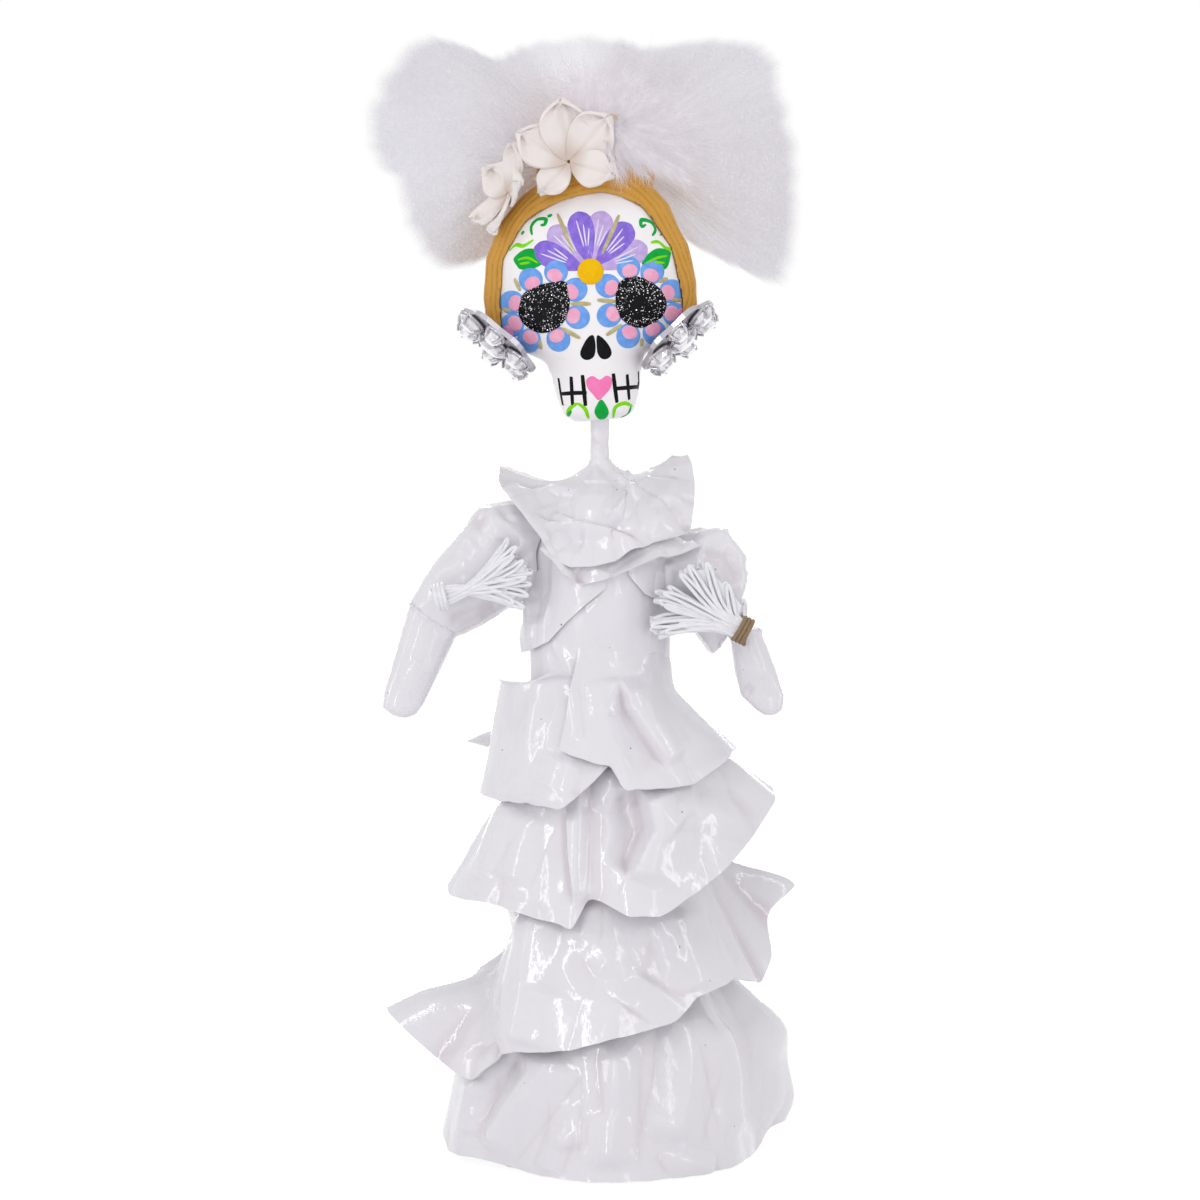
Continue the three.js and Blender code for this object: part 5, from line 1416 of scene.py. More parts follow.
# Glitter, in millimetres: how high it lies, its lower and upper face and its least and largest radius
FLAKE_COATS = 3.6
FLAKE_LIFT = 0.06
FLAKE_FACES = (-0.02, 0.03)
FLAKE_RADII = (0.06, 0.2)
FLAKE_SIDES = 6
EYE_RIM_POINTS = 72
# Dents that fingers left in the clay: their breadth and depth in millimetres
DENTS = (11, 0.16)


def cast(skull, pixel, towards=FACE_CENTRE):
    """The point and normal of the skull behind a photo pixel. One beside the skull slides towards another."""
    for step in range(CAST_STEPS):
        across, down = np.array(pixel) + (np.array(towards) - np.array(pixel)) * step / CAST_STEPS
        ray = (
            FORWARD + RIGHTWARD * (across - PHOTO_PIXELS / 2) / LENS_PIXELS
            + UPWARD * (PHOTO_PIXELS / 2 - down) / LENS_PIXELS
        )
        place, normal, _, _ = skull.ray_cast(CAMERA_PLACE, ray.normalized())
        if place and normal.dot(ray) < -0.12:
            return place, normal
    raise RuntimeError(f"no skull behind pixel {pixel}")


class Paint:
    """Gathers patches and strokes of one paint into a single mesh."""

    def __init__(self, skull, lift):
        self.skull, self.lift = skull, lift
        self.vertices, self.faces = [], []

    def patch(self, outline, layer=0, points=40):
        """A closed dab of paint inside an outline of photo pixels."""
        ring = resampled(outline, points, ring=True)
        centre = ring.mean(axis=0)
        index = wrapped(len(self.vertices), len(DAB_RINGS), points)
        for share, height in DAB_RINGS:
            for pixel in centre + share * (ring - centre):
                place, normal = cast(self.skull, pixel, centre)
                self.vertices.append(place + normal * self.lift * (height + layer))
        self.faces += quads(index).tolist()
        place, normal = cast(self.skull, centre)
        top, root = self.lift * (1 + layer), -self.lift - DAB_ROOT * MM
        for rim, depth in ((index[-1], top), (index[0, ::-1], root)):
            self.faces += [(first, second, len(self.vertices)) for first, second in zip(rim[:-1], rim[1:])]
            self.vertices.append(place + normal * depth)

    def stroke(self, line, width, layer=0, steps=22, blunt=0.35):
        """A closed brush stroke along a line of photo pixels, `width` pixels broad."""
        hits = [cast(self.skull, pixel) for pixel in resampled(line, steps)]
        self.faces += tube_faces(len(self.vertices), steps, STROKE_SIDES)
        for k, (place, normal) in enumerate(hits):
            ahead, behind = hits[min(k + 1, steps - 1)][0], hits[max(k - 1, 0)][0]
            across = normal.cross(ahead - behind).normalized()
            swell = blunt + (1 - blunt) * math.sin(math.pi * (k / (steps - 1))) ** 0.6
            side = across * swell * width / 2 * CAMERA_DISTANCE / LENS_PIXELS
            rise = normal * swell * self.lift
            middle = place + normal * self.lift * layer
            self.vertices += [middle + side * math.cos(t) + rise * math.sin(t) for t in turns(STROKE_SIDES)]

    def finish(self, name):
        return new_piece("skull_" + name, self.vertices, self.faces, name, "painted_clay", (), 60)


def compass(angle):
    """The way of an angle in degrees over the photograph, and the way across it."""
    way = np.array((math.cos(math.radians(angle)), -math.sin(math.radians(angle))))
    return way, np.array((-way[1], way[0]))


def oval(centre, radii, tilt=0.0):
    """An outline of photo pixels."""
    turn = turns(OVAL_POINTS)
    way, side = np.array((math.cos(tilt), math.sin(tilt))), np.array((-math.sin(tilt), math.cos(tilt)))
    return np.array(centre) + np.outer(radii[0] * np.cos(turn), way) + np.outer(radii[1] * np.sin(turn), side)


def paint_forehead(paints):
    """A half flower over the brow: purple and lilac petals with white streaks, and its yellow disc."""
    for name, angle, reach, width in CROWN_PETALS:
        way, side = compass(angle)
        rim = [way * reach * out + side * width * half for out, half in PETAL_SHAPE]
        rim += [way * reach * out - side * width * half for out, half in reversed(PETAL_SHAPE[1:])]
        paints[name].patch(DISC_CENTRE + rim, layer=0.3 if name == "purple_paint" else 0)
        for out, over in PETAL_STREAKS:
            tip = DISC_CENTRE + way * reach * out + side * width * over
            root = DISC_CENTRE + way * reach * STREAK_ROOT[0] + side * width * over * STREAK_ROOT[1]
            paints["white_paint"].stroke([root, tip], 1.7, layer=1.15, steps=10)
    paints["yellow_paint"].patch(oval(DISC_CENTRE, (DISC_RADIUS, DISC_RADIUS)), layer=2.2)


def paint_eyes(paints):
    """Black eyes in a ring of blue petals with pink hearts."""
    for eye, centre, petals in (
        (LEFT_EYE, LEFT_EYE_CENTRE, LEFT_EYE_PETALS), (RIGHT_EYE, RIGHT_EYE_CENTRE, RIGHT_EYE_PETALS),
    ):
        for petal in petals:
            way = unit(petal - centre)
            tilt = math.atan2(way[1], way[0])
            paints["blue_paint"].patch(oval(petal + BLUE_PETAL[0] * way, BLUE_PETAL[1], tilt), 0.5)
            paints["pink_paint"].patch(oval(petal + PINK_PETAL[0] * way, PINK_PETAL[1], tilt), 1.6, points=28)
        paints["black_paint"].patch(eye, layer=2.4, points=56)


def paint_marks(paints):
    """Cheeks, golden rays, leaves and tendrils, the nose, the stitched mouth and its heart."""
    for centre, radii in BLUSH:
        paints["blush_paint"].patch(oval(centre, radii), layer=0.9, points=24)
    for name, outlines, layer, points in DABS:
        for outline in outlines:
            paints[name].patch(outline, layer, points)
    for name, strokes, width, lie in STROKES:
        for line in strokes:
            paints[name].stroke(line, width, **lie)


def glitter(skull, lift, count):
    """Loose flakes of glitter over both eyes: tiny closed six-sided plates, thicker round the rim."""
    luck = random.Random(31)
    vertices, faces, glint_tones = [], [], []
    for eye, centre in ((LEFT_EYE, LEFT_EYE_CENTRE), (RIGHT_EYE, RIGHT_EYE_CENTRE)):
        rim = resampled(eye, EYE_RIM_POINTS, ring=True)
        for _ in range(count):
            edge = rim[luck.randrange(len(rim))]
            share = luck.random() ** 0.36
            place, normal = cast(skull, centre + (edge - centre) * share * 0.98)
            facing = (normal + Vector([luck.uniform(-0.5, 0.5) for _ in range(3)])).normalized()
            reach = luck.uniform(*FLAKE_RADII) * MM
            across = facing.orthogonal().normalized() * reach
            up = facing.cross(across)
            middle = place + normal * (FLAKE_COATS * lift + FLAKE_LIFT * MM)
            faces += tube_faces(len(vertices), len(FLAKE_FACES), FLAKE_SIDES)
            for rise in FLAKE_FACES:
                foot = middle + facing * rise * MM
                vertices += [foot + across * math.cos(t) + up * math.sin(t) for t in turns(FLAKE_SIDES)]
            # A random tone for each flake: dark as the black glitter, light as a painted glint
            glint_tones += [luck.random() ** 0.7] * (FLAKE_SIDES + 2)
    tints = {"facet_glint": glint_tones}
    return new_piece("skull_glitter", vertices, faces, "glitter_flake", "painted_clay", (), 0, tints)


def skull_relief(points, normals):
    """Soft finger dents, and no tint."""
    return DENTS[1] * MM * drift(points / (DENTS[0] * MM)), np.zeros(len(points))


class BRIDE_OT_skull(bpy.types.Operator):
    """Models the clay skull and paints it"""

    bl_idname = "bride.skull"
    bl_label = "Painted skull"

    def execute(self, context):
        head = context.scene.bride_head
        piece, _ = softened("skull", "skull_clay", 0.6, 14, skull_relief, raised_crown)
        dressed(piece, "white_clay", "painted_clay", ["skull"], 180)
        context.view_layer.update()
        skull = BVHTree.FromObject(piece, context.evaluated_depsgraph_get())
        paints = {name: Paint(skull, head.paint_lift) for name in PAINTS}
        paint_forehead(paints)
        paint_eyes(paints)
        paint_marks(paints)
        for name, paint in paints.items():
            paint.finish(name)
        glitter(skull, head.paint_lift, head.flakes)
        return {"FINISHED"}


# Hair and flowers

# The middle of the face (x, height), and how far the crown is raised on the left and more on the right
FACE_MIDDLE = np.array((0.0, 33.0))
CROWN_LIFT = (2.0, 2.4)
HAIR_SWAY = 9
# Strength of the painted shade in the comb grooves
GROOVE_SHADE = 0.85


def into_head(points):
    """Points in metres, in the head's own upright frame, in millimetres above the chin."""
    turn = np.array(HEAD.inverted())
    return (points @ turn[:3, :3].T + turn[:3, 3]) / MM


def from_head(points):
    """Points in metres in the figure's frame, from millimetres above the chin."""
    turn = np.array(HEAD)
    return (points * MM) @ turn[:3, :3].T + turn[:3, 3]


def raised_crown(points):
    """Metres to lift points of the crown, more on the right, where the hair line is higher."""
    place = into_head(points)
    lift = CROWN_LIFT[0] + CROWN_LIFT[1] * smoothstep(place[:, 0], -6, 14)
    return lift * smoothstep(place[:, 2], 44, 60) * MM


def comb_grooves(strand):
    """How deep a comb's teeth have bitten, from 0 to 1, at places across the strands in millimetres."""
    phase = strand * MM / bpy.context.scene.bride_head.groove_pitch
    comb = np.abs(np.sin(math.pi * phase))
    uneven = 0.55 + 0.45 * np.sin(2.3 * np.floor(phase))
    return np.clip(1 - comb / 0.6, 0, 1) * uneven


def hair_relief(points, normals):
    """Comb grooves that follow the hair round the face, and run up the back to the bun."""
    head = bpy.context.scene.bride_head
    place = into_head(points)
    out = place[:, [0, 2]] - FACE_MIDDLE
    sway = drift(place / HAIR_SWAY)
    strand = np.hypot(out[:, 0], out[:, 1]) + 0.7 * place[:, 1] + 1.6 * sway
    strand += 0.01 * np.abs(np.degrees(np.arctan2(out[:, 0] + 6, out[:, 1])))
    behind = smoothstep(normals[:, 1], 0.3, 0.7)
    groove = comb_grooves(strand) * (1 - behind) + comb_grooves(place[:, 0] + 0.8 * sway) * behind
    # Painted shade: the deeper a comb groove, the darker its tint
    return -head.groove_depth * groove + 0.25 * MM * sway, GROOVE_SHADE * groove


PETAL_THICKNESS = 0.8
PETAL_REACH = 0.93
OPEN_FLOWER_DROP = 3.2
PETAL_GRID = (30, 27)


def node_points(node):
    """The corners of a node's solid, in metres."""
    return np.array([v.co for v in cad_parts[node].data.vertices])


def flower_petal(node, middle, normal, turn):
    """A ruffled clay petal in its solid's place. It tilts like a pinwheel, so each petal laps the next."""
    points = node_points(node)
    along = points.mean(axis=0) - middle
    along = unit(along - normal * (along @ normal))
    across = np.cross(normal, along)
    reach = PETAL_REACH * ((points - middle) @ along).max()
    share = np.linspace(0.03, 1, PETAL_GRID[0])[:, None]
    side = np.linspace(-1, 1, PETAL_GRID[1])[None]
    half = 0.72 * reach * share ** 0.7 * np.maximum(1 - share ** 2.6, 0.004) ** 0.9
    cup = 0.14 * share ** 2 + 0.05 * share + 0.12 * side ** 2 * share
    ruffle = 0.06 * np.sin(4.5 * side + turn) * share ** 2
    frill = 0.035 * np.cos(11 * side * share + 2 * turn) * share ** 3
    vein = 0.03 * np.exp(-(side / 0.12) ** 2) * share
    rise = cup + ruffle + frill - vein + 0.15 * side * half / reach
    out = reach * (share - 0.05 * side ** 2 * share + 0.03 * np.sin(9 * side + turn) * share ** 4)
    place = out[..., None] * along + (half * side)[..., None] * across + (reach * rise)[..., None] * normal
    grid = middle + place
    facing = grid_normals(grid, False)
    facing *= np.sign((facing * normal).sum())
    vertices, faces = closed_sheet(grid, grid - facing * PETAL_THICKNESS * MM, False)
    # Painted shade: browner at the root, where the petals crowd together, and along the middle line
    root = (1 - smoothstep(share, 0.05, 0.45)) * np.ones_like(side)
    crowded_shade = np.clip(0.75 * root + 0.35 * np.exp(-(side / 0.1) ** 2) * (1 - share), 0, 1).ravel()
    return new_piece(
        node + "_clay", vertices, faces, "pressed_clay", "flower_clay", [node], 60,
        {"fold": np.concatenate([crowded_shade, crowded_shade])},
    )


class BRIDE_OT_hair(bpy.types.Operator):
    """Combs the clay hair and the bun"""

    bl_idname = "bride.hair"
    bl_label = "Clay hair"

    def execute(self, context):
        for node, lift in (("hair_cap", raised_crown), ("hair_bun", None)):
            piece, groove = softened(node, node + "_combed", 0.42, 5, hair_relief, lift)
            # The groove values are the painted shade of the comb grooves
            dressed(piece, "combed_clay", "tan_clay", [node], 180, {"fold": groove})
        return {"FINISHED"}


class BRIDE_OT_flowers(bpy.types.Operator):
    """Presses the petals of both clay flowers"""

    bl_idname = "bride.flowers"
    bl_label = "Clay flowers"

    def execute(self, context):
        for flower, drop in ((1, OPEN_FLOWER_DROP), (2, 0)):
            nodes = [f"flower_{flower}_petal_{k}" for k in range(1, 6)]
            petals = [node_points(node) for node in nodes]
            solids = np.concatenate(petals)
            centre = solids.mean(axis=0)
            normal = np.linalg.svd(solids - centre, full_matrices=False)[2][2]
            normal *= -np.sign(normal[1])
            roots = [points[np.argmin(np.linalg.norm(points - centre, axis=1))] for points in petals]
            middle = np.mean(roots, axis=0) - np.array((0, 0, drop * MM))
            for k, node in enumerate(nodes):
                flower_petal(node, middle, normal, 1.7 * k + flower)
        return {"FINISHED"}


# Feathers and tulle, laid out upright in millimetres above the chin

BARB_STEPS = 7
BARB_SIDES = 3
BARB_TAPER = 0.8
SHAFT_STRAY = (2, 7, 2)
# Bundles of each plume: its root, the two tips of its fan, its shafts, the barbs on each shaft, their length
# and how far they spread. Places are x, depth and height.
PLUMES = {
    "left_plume": [
        ((-6, 9, 68), ((-28, 10, 72), (-18, 12, 90)), 9, 70, 12, 0.5),
        ((-9, 2, 70), ((-21, -3, 72), (-14, 2, 84)), 7, 60, 8, 0.8),
    ],
    "centre_plume": [
        ((4, 4, 74), ((-12, 5, 91), (22, 5, 92)), 16, 120, 12, 0.9),
        ((6, -8, 76), ((-4, -9, 88), (16, -9, 88)), 11, 150, 9, 0.9),
    ],
    "right_plume": [
        ((11, -8, 75), ((13, -9, 90), (30, -6, 76)), 14, 150, 9, 0.9),
        ((8, -9, 77), ((18, -10, 78), (31, -8, 66)), 12, 160, 8, 0.8),
        ((8, -9, 76), ((10, -11, 65.5), (29, -9, 62)), 18, 190, 8, 0.5),
        ((11, 7, 68), ((34, 8, 72), (30, 8, 54)), 9, 60, 11, 0.7),
    ],
}


def plume_paths(luck, root, tips, shafts, barbs, barb_length, spread):
    """Barbs of marabou shafts that fan from a root between two tips: (count x steps x 3), in millimetres."""
    paths = []
    steps_out = np.linspace(0, 1, BARB_STEPS)[:, None]
    for shaft in range(shafts):
        share = (shaft + luck.uniform(0.1, 0.9)) / shafts
        tip = np.array(tips[0]) * (1 - share) + np.array(tips[1]) * share
        start = np.array(root) + [luck.uniform(-1.5, 1.5) for _ in range(3)]
        axis = tip + [luck.uniform(-stray, stray) for stray in SHAFT_STRAY] - start
        span = np.linalg.norm(axis)
        side = unit(np.array((-axis[2], 0.0, axis[0])))
        for _ in range(barbs):
            along = luck.uniform(0.05, 1.0)
            hand = luck.uniform(-1, 1)
            reach = barb_length * luck.uniform(0.5, 1.15) * (1.1 - 0.45 * along)
            way = unit(axis / span + spread * hand * side + np.array((0, luck.uniform(-0.8, 0.8), 0)))
            curl = np.array((luck.uniform(-0.25, 0.25), luck.uniform(-0.2, 0.2), luck.uniform(-0.3, 0.1)))
            paths.append(start + axis * along + way * reach * steps_out + curl * reach * steps_out ** 2)
    return paths


def hairs(name, paths, radius, finish, slot, nodes):
    """One mesh of fine tapering closed hairs along (count x steps x 3) paths in metres."""
    count, steps, _ = paths.shape
    tangent = unit(np.gradient(paths, axis=1))
    across = unit(np.cross(tangent, np.array((0.31, 0.9, 0.27))))
    up = np.cross(tangent, across)
    taper = radius * (1 - BARB_TAPER * np.linspace(0, 1, steps))[None, :, None, None]
    turn = turns(BARB_SIDES)[:, None]
    ring = across[:, :, None, :] * np.cos(turn) + up[:, :, None, :] * np.sin(turn)
    vertices = (paths[:, :, None, :] + ring * taper).reshape(-1, 3)
    index = np.arange(count * steps * BARB_SIDES).reshape(count, steps, BARB_SIDES)
    turned = np.roll(index, -1, axis=2)
    walls = np.stack([index[:, :-1], turned[:, :-1], turned[:, 1:], index[:, 1:]], -1).reshape(-1, 4)
    faces = walls.tolist() + index[:, 0, ::-1].tolist() + index[:, -1, :].tolist()
    return new_piece(name, vertices, faces, finish, slot, nodes, 80)


class BRIDE_OT_feathers(bpy.types.Operator):
    """Fans the marabou feathers round the bun"""

    bl_idname = "bride.feathers"
    bl_label = "Marabou feathers"

    def execute(self, context):
        luck = random.Random(7)
        barb = context.scene.bride_headdress.barb
        for node, bundles in PLUMES.items():
            paths = from_head(np.array([path for bundle in bundles for path in plume_paths(luck, *bundle)]))
            down = hairs(node + "_barbs", paths, barb, "marabou_down", "marabou_feather", [node])
            down.visible_shadow = False
        return {"FINISHED"}


# Veils: the gathered point and the outline of the far edge, as rises from the top of the hair
LEFT_VEIL = dict(gather=(-2, 6), depth=17, outline=[
    (-19, -15), (-27, -20.4), (-36.4, -21.8), (-42.5, -17.6), (-46.4, -10), (-48, 0.8), (-53, 7.4),
    (-56, 15.7), (-52.3, 26.3), (-46, 33.7), (-39.6, 39), (-31.8, 37.6), (-26.6, 35.6), (-21.3, 32.6),
    (-16.2, 33.4), (-10.7, 35.4), (1.6, 36.4), (13.2, 35),
])
RIGHT_VEIL = dict(gather=(10, 6), depth=18.5, outline=[
    (20, -15), (28.9, -21.6), (40, -28.3), (48.3, -32.7), (52, -31), (55.3, -22), (57, -6.3), (56.4, 9.7),
    (54.7, 18), (53.4, 26), (49.3, 30.4), (38, 32.7), (20.7, 32.4), (13.2, 34.4), (1.6, 36), (-10, 35),
])
VEIL_START = 0.12
VEIL_ROWS = 60
VEIL_COLUMNS = 260
VEIL_RIM = 1.05
VEIL_WAVE = 3.2
PLEAT_HEIGHT = 0.16


def veil(node, gather, depth, outline, seed):
    """A gathered fan of tulle, with its soft rim."""
    pleats = bpy.context.scene.bride_headdress.pleats
    edge = gather + VEIL_RIM * (resampled(outline, VEIL_COLUMNS) - gather)
    share = np.linspace(VEIL_START, 1, VEIL_ROWS)[:, None]
    place = np.linspace(0, 1, VEIL_COLUMNS)[None]
    x = gather[0] + (edge[None, :, 0] - gather[0]) * share
    rise = gather[1] + (edge[None, :, 1] - gather[1]) * share
    fine = np.sin(2 * math.pi * pleats * place + 2.2 * np.sin(9 * place + seed)) * (1 - 0.6 * share)
    broad = np.sin(2 * math.pi * 2.3 * place + seed) + 0.6 * np.sin(5 * share + 9 * place)
    puff = depth + share * PLEAT_HEIGHT * fine + VEIL_WAVE * share ** 1.5 * (broad + 0.3)
    grid = from_head(np.stack([x, puff, HAIR_TOP + rise], -1))
    faces = quads(np.arange(VEIL_ROWS * VEIL_COLUMNS).reshape(VEIL_ROWS, VEIL_COLUMNS))
    ends = np.minimum(smoothstep(place, 0, 0.07), 1 - smoothstep(place, 0.85, 1))
    wisps = drift([(40 * p, seed, 0) for p in place[0]])
    rim = {"rim": ((1 - smoothstep(share + 0.03 * wisps, 0.89, 1.0)) * ends).ravel()}
    points = grid.reshape(-1, 3)
    piece = new_piece(node + "_tulle", points, faces, "gathered_tulle", "white_tulle", [node], 180, rim)
    return piece


class BRIDE_OT_veils(bpy.types.Operator):
    """Gathers the tulle behind the bun"""

    bl_idname = "bride.veils"
    bl_label = "Tulle veils"

    def execute(self, context):
        veil("left_veil", **LEFT_VEIL, seed=1.3)
        veil("right_veil", **RIGHT_VEIL, seed=4.1)
        return {"FINISHED"}


# Earrings, placed by their own solids

# A stone's rings from its foot up: share of its size, share of its height, and if it is turned half a step
STONE_RINGS = ((0.9, 0.0, 0), (1.0, 0.3, 0.5), (1.0, 0.4, 0.5), (0.8, 0.72, 0), (0.52, 1.0, 0.5))
STONE_SIDES = 10
# The table's painted reflection: its facet is painted light
TABLE_GLINT = 0.85
# The rail round a stone, in millimetres
RAIL_GAP = 0.15
RAIL_RISE = 0.35
RAIL_RADIUS = 0.42
RAIL_STEPS = 28
WIRE_SIDES = 7
# A prong's course: shares of the stone's half size and of its height
PRONG = ((1.12, 0), (1.1, 0.55), (0.8, 0.95))
PRONG_TURNS = (0.25, 0.75, 1.25, 1.75)
PRONG_RADIUS = 0.34


def node_axes(node):
    """The middle of a solid and its axes, longest first."""
    points = np.unique(node_points(node).round(6), axis=0)
    middle = points.mean(axis=0)
    return middle, np.linalg.svd(points - middle, full_matrices=False)[2]


def cut_stone(node, middle, long_way, normal, size, luck):
    """A faceted stone: `size` is its length, width and height in metres."""
    wide_way = np.cross(normal, long_way)
    sides = STONE_SIDES
    vertices, faces = [], []
    for share, rise, shift in STONE_RINGS:
        for turn in turns(sides) + 2 * math.pi * shift / sides:
            vertices.append(
                middle + long_way * size[0] / 2 * share * math.cos(turn)
                + wide_way * size[1] / 2 * share * math.sin(turn) + normal * size[2] * (rise - 0.5)
            )
    for level, (ring, above) in enumerate(zip(STONE_RINGS[:-1], STONE_RINGS[1:])):
        low, high = level * sides, (level + 1) * sides
        for k in range(sides):
            after = (k + 1) % sides
            if ring[2] == above[2]:
                faces.append((low + k, low + after, high + after, high + k))
            elif ring[2] == 0:
                faces += [(low + k, low + after, high + k), (low + after, high + after, high + k)]
            else:
                faces += [(low + k, low + after, high + after), (low + k, high + after, high + k)]
    faces.append(tuple(reversed(range(sides))))
    faces.append(tuple(range(len(vertices) - sides, len(vertices))))
    # Painted reflection: each facet gets a random light or dark tone
    glint_tones = [luck.random() ** 0.75 for _ in faces]
    glint_tones[-1] = TABLE_GLINT
    facet_glint = {"facet_glint": glint_tones}
    return new_piece(node + "_cut", vertices, faces, "foiled_crystal", "clear_crystal", [node], 0, facet_glint)


def setting(node, normal, stones):
    """A lobed plate with a raised gallery rail round each stone and four prongs over it."""
    vertices, faces = [], []

    def wire(path, radius, ring=False):
        path = np.asarray(path)
        if ring:
            way = np.roll(path, -1, axis=0) - np.roll(path, 1, axis=0)
        else:
            way = np.concatenate([path[1:], path[-1:]]) - np.concatenate([path[:1], path[:-1]])
        side = unit(np.cross(unit(way), normal + 0.013))
        up = np.cross(unit(way), side)
        faces.extend(tube_faces(len(vertices), len(path), WIRE_SIDES, loop=ring))
        for point, s, u in zip(path, radius * MM * side, radius * MM * up):
            vertices.extend(point + math.cos(t) * s + math.sin(t) * u for t in turns(WIRE_SIDES))

    for centre, way, size in stones:
        long_half, wide_half = way * size[0] / 2, np.cross(normal, way) * size[1] / 2
        foot = centre - normal * size[2] * 0.5
        long_rail, wide_rail = (half + unit(half) * RAIL_GAP * MM for half in (long_half, wide_half))
        middle = foot + normal * RAIL_RISE * MM
        rail = [middle + long_rail * math.cos(t) + wide_rail * math.sin(t) for t in turns(RAIL_STEPS)]
        wire(rail, RAIL_RADIUS, ring=True)
        for turn in PRONG_TURNS:
            out = long_half * math.cos(math.pi * turn) + wide_half * math.sin(math.pi * turn)
            wire([foot + out * share + normal * size[2] * rise for share, rise in PRONG], PRONG_RADIUS)
    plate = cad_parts[node].data
    faces.extend([len(vertices) + k for k in face.vertices] for face in plate.polygons)
    vertices.extend(node_points(node))
    return new_piece(node + "_silver", vertices, faces, "silver_plate", "silver_setting", [node], 35)


def earring(side, luck):
    """One flower earring: its centre stone, its six outer stones and their setting."""
    plate = side + "_earring_setting"
    plate_middle, plate_axes = node_axes(plate)
    head_middle = np.array(HEAD @ Vector((0, 0, FACE_MIDDLE[1] * MM)))
    normal = plate_axes[2] * np.sign(plate_axes[2] @ (plate_middle - head_middle))
    stones = []
    for name in ["centre_stone"] + [f"stone_{k}" for k in range(1, 7)]:
        node = f"{side}_earring_{name}"
        middle, axes = node_axes(node)
        long_way = axes[0] if name == "centre_stone" else middle - plate_middle
        long_way = unit(long_way - normal * (long_way @ normal))
        points = node_points(node)
        size = [np.ptp(points @ way) for way in (long_way, np.cross(normal, long_way), normal)]
        foot, top = (points @ normal).min(), (points @ normal).max()
        middle = middle + normal * ((foot + top) / 2 - middle @ normal)
        cut_stone(node, middle, long_way, normal, size, luck)
        stones.append((middle, long_way, size))
    setting(plate, normal, stones)


class BRIDE_OT_earrings(bpy.types.Operator):
    """Sets the crystals of both flower earrings"""

    bl_idname = "bride.earrings"
    bl_label = "Crystal earrings"

    def execute(self, context):
        luck = random.Random(12)
        for side in ("left", "right"):
            earring(side, luck)
        return {"FINISHED"}


INSIDE_FINISHES = {
    "base_disc": "fibre_board", "skirt_core": "rolled_newsprint", "spine_wire": "drawn_wire",
    "arm_wire": "dipped_wire",
}


class BRIDE_OT_inside(bpy.types.Operator):
    """Finishes the base, the core and the wires, which keep their solids"""

    bl_idname = "bride.inside"
    bl_label = "Base, core and wires"

    def execute(self, context):
        for node, finish in INSIDE_FINISHES.items():
            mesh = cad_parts[node].data
            mesh.materials.clear()
            mesh.materials.append(coat(finish))
        return {"FINISHED"}


# Stage

GROUND_REACH = 6.0
GROUND_DROP = 0.0002
GROUND_GLOW = (0.8, 1.17)
LAMP_AIM = (0, 0, 0.14)
WHITE = (1, 1, 1, 1)


def background_rays(tree):
    """1 for the rays that should meet the white background: seen, mirrored, or through glass."""
    path = add(tree, "ShaderNodeLightPath")
    mirrored = add(
        tree, "ShaderNodeMath", {0: path.outputs["Is Glossy Ray"], 1: path.outputs["Is Transmission Ray"]},
        operation="MAXIMUM",
    )
    return add(
        tree, "ShaderNodeMath", {0: path.outputs["Is Camera Ray"], 1: mirrored.outputs[0]}, operation="MAXIMUM"
    )


def studio_white(tree):
    # Seamless white paper: a pure white ground that keeps a faint shadow
    seen = background_rays(tree)
    share = add(tree, "ShaderNodeMath", {0: seen, 1: GROUND_GLOW[0]}, operation="MULTIPLY")
    matt = add(tree, "ShaderNodeBsdfDiffuse", {"Color": linear("#f7f6f8")})
    glow = add(tree, "ShaderNodeEmission", {"Color": WHITE, "Strength": GROUND_GLOW[1]})
    return add(tree, "ShaderNodeMixShader", {0: share, 1: matt, 2: glow})


def softbox(name, place, size, power, mirrored=False):
    """An area lamp; only a mirrored one shows as a glint in glossy surfaces."""
    lamp = bpy.data.lights.new(name, "AREA")
    lamp.shape = "RECTANGLE"
    lamp.size, lamp.size_y = size
    lamp.energy = power
    lamp_object = bpy.data.objects.new(name, lamp)
    lamp_object.location = place
    lamp_object.visible_glossy = mirrored
    lamp_object.rotation_euler = (Vector(LAMP_AIM) - Vector(place)).to_track_quat("-Z", "Y").to_euler()
    bpy.context.scene.collection.objects.link(lamp_object)


def photo_camera(scene):
    """The camera that saw the photograph."""
    lens = bpy.data.cameras.new("photo_camera")
    lens.sensor_width = SENSOR_MM
    lens.lens = LENS_PIXELS / PHOTO_PIXELS * SENSOR_MM
    camera = bpy.data.objects.new("photo_camera", lens)
    camera.location = CAMERA_PLACE
    camera.rotation_euler = FORWARD.to_track_quat("-Z", "Y").to_euler()
    scene.collection.objects.link(camera)
    scene.camera = camera


def white_ground(scene):
    """A wide sheet of white paper that the figure stands on."""
    ground = bpy.data.meshes.new("ground")
    corners = [(x * GROUND_REACH, y * GROUND_REACH, 0) for x, y in ((-1, -1), (1, -1), (1, 1), (-1, 1))]
    ground.from_pydata(corners, [], [(0, 1, 2, 3)])
    ground.materials.append(new_material("studio_white", studio_white))
    floor = bpy.data.objects.new("ground", ground)
    floor.location.z = -GROUND_DROP
    scene.collection.objects.link(floor)


def white_surround(scene, strength):
    """A white background, with softer light from all round."""
    world = bpy.data.worlds.new("studio")
    world.use_nodes = True
    tree = world.node_tree
    tree.nodes.clear()
    seen = background_rays(tree)
    around = add(tree, "ShaderNodeBackground", {"Color": WHITE, "Strength": strength})
    behind = add(tree, "ShaderNodeBackground", {"Color": WHITE, "Strength": 1.0})
    mixed = add(tree, "ShaderNodeMixShader", {0: seen, 1: around, 2: behind})
    add(tree, "ShaderNodeOutputWorld", {"Surface": mixed})
    scene.world = world


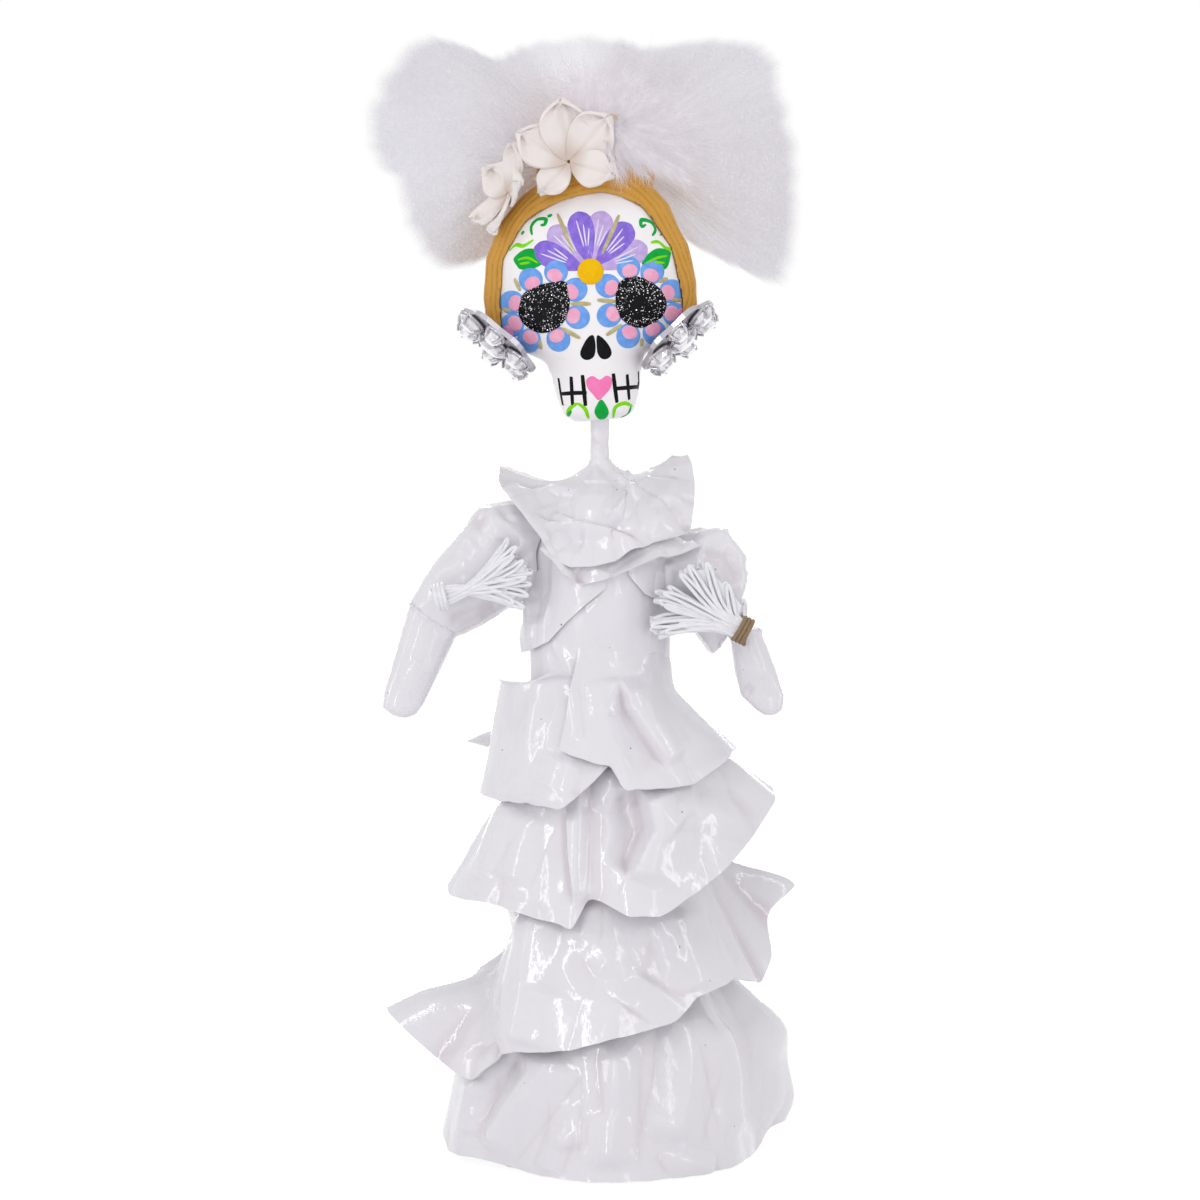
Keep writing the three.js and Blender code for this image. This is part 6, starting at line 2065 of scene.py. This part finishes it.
class BRIDE_OT_stage(bpy.types.Operator):
    """Sets the camera of the photograph, the white ground and the soft lamps"""

    bl_idname = "bride.stage"
    bl_label = "Stage"

    def execute(self, context):
        scene, stage = context.scene, context.scene.bride_stage
        scene.view_settings.view_transform = "Standard"
        photo_camera(scene)
        white_ground(scene)
        white_surround(scene, stage.surround)
        softbox("key_strip", (-0.5, -0.95, 0.5), (0.08, 1.0), stage.key, True)
        softbox("fill_strip", (0.42, -1.0, 0.5), (0.07, 1.0), stage.fill, True)
        softbox("top_softbox", (0.05, -0.1, 1.15), (0.5, 0.4), stage.top)
        softbox("front_softbox", (0.1, -1.3, 0.3), (0.9, 0.9), stage.front)
        for side in (-1, 1):
            softbox("side_strip", (1.0 * side, -0.35, 0.5), (0.08, 1.0), stage.sides, True)
            softbox("back_strip", (0.25 * side, 1.05, 0.5), (0.08, 1.0), stage.back, True)
        return {"FINISHED"}


OPERATORS = (
    BRIDE_OT_stage, BRIDE_OT_inside, BRIDE_OT_tiers, BRIDE_OT_peplum, BRIDE_OT_bodice, BRIDE_OT_collars,
    BRIDE_OT_arms, BRIDE_OT_hanks, BRIDE_OT_skull, BRIDE_OT_hair, BRIDE_OT_flowers, BRIDE_OT_feathers,
    BRIDE_OT_veils, BRIDE_OT_earrings,
)
GROUPS = {
    "bride_paper": BRIDE_PG_paper, "bride_head": BRIDE_PG_head, "bride_headdress": BRIDE_PG_headdress,
    "bride_stage": BRIDE_PG_stage,
}


class BRIDE_PT_sidebar(bpy.types.Panel):
    """Sizes, colours and steps of the skeleton bride"""

    bl_idname = "BRIDE_PT_sidebar"
    bl_label = "Skeleton bride"
    bl_space_type = "VIEW_3D"
    bl_region_type = "UI"
    bl_category = "Bride"

    def draw(self, context):
        for label, group in GROUPS.items():
            box = self.layout.box()
            for field in group.__annotations__:
                box.prop(getattr(context.scene, label), field)
        for operator in OPERATORS:
            self.layout.operator(operator.bl_idname)


def register():
    for label, group in GROUPS.items():
        bpy.utils.register_class(group)
        setattr(bpy.types.Scene, label, PointerProperty(type=group))
    for made in OPERATORS + (BRIDE_PT_sidebar,):
        bpy.utils.register_class(made)


def unregister():
    for made in reversed(OPERATORS + (BRIDE_PT_sidebar,)):
        bpy.utils.unregister_class(made)
    for label, group in GROUPS.items():
        delattr(bpy.types.Scene, label)
        bpy.utils.unregister_class(group)


def main():
    register()
    for operator in OPERATORS:
        family, name = operator.bl_idname.split(".")
        getattr(getattr(bpy.ops, family), name)()


if __name__ == "__main__":
    main()
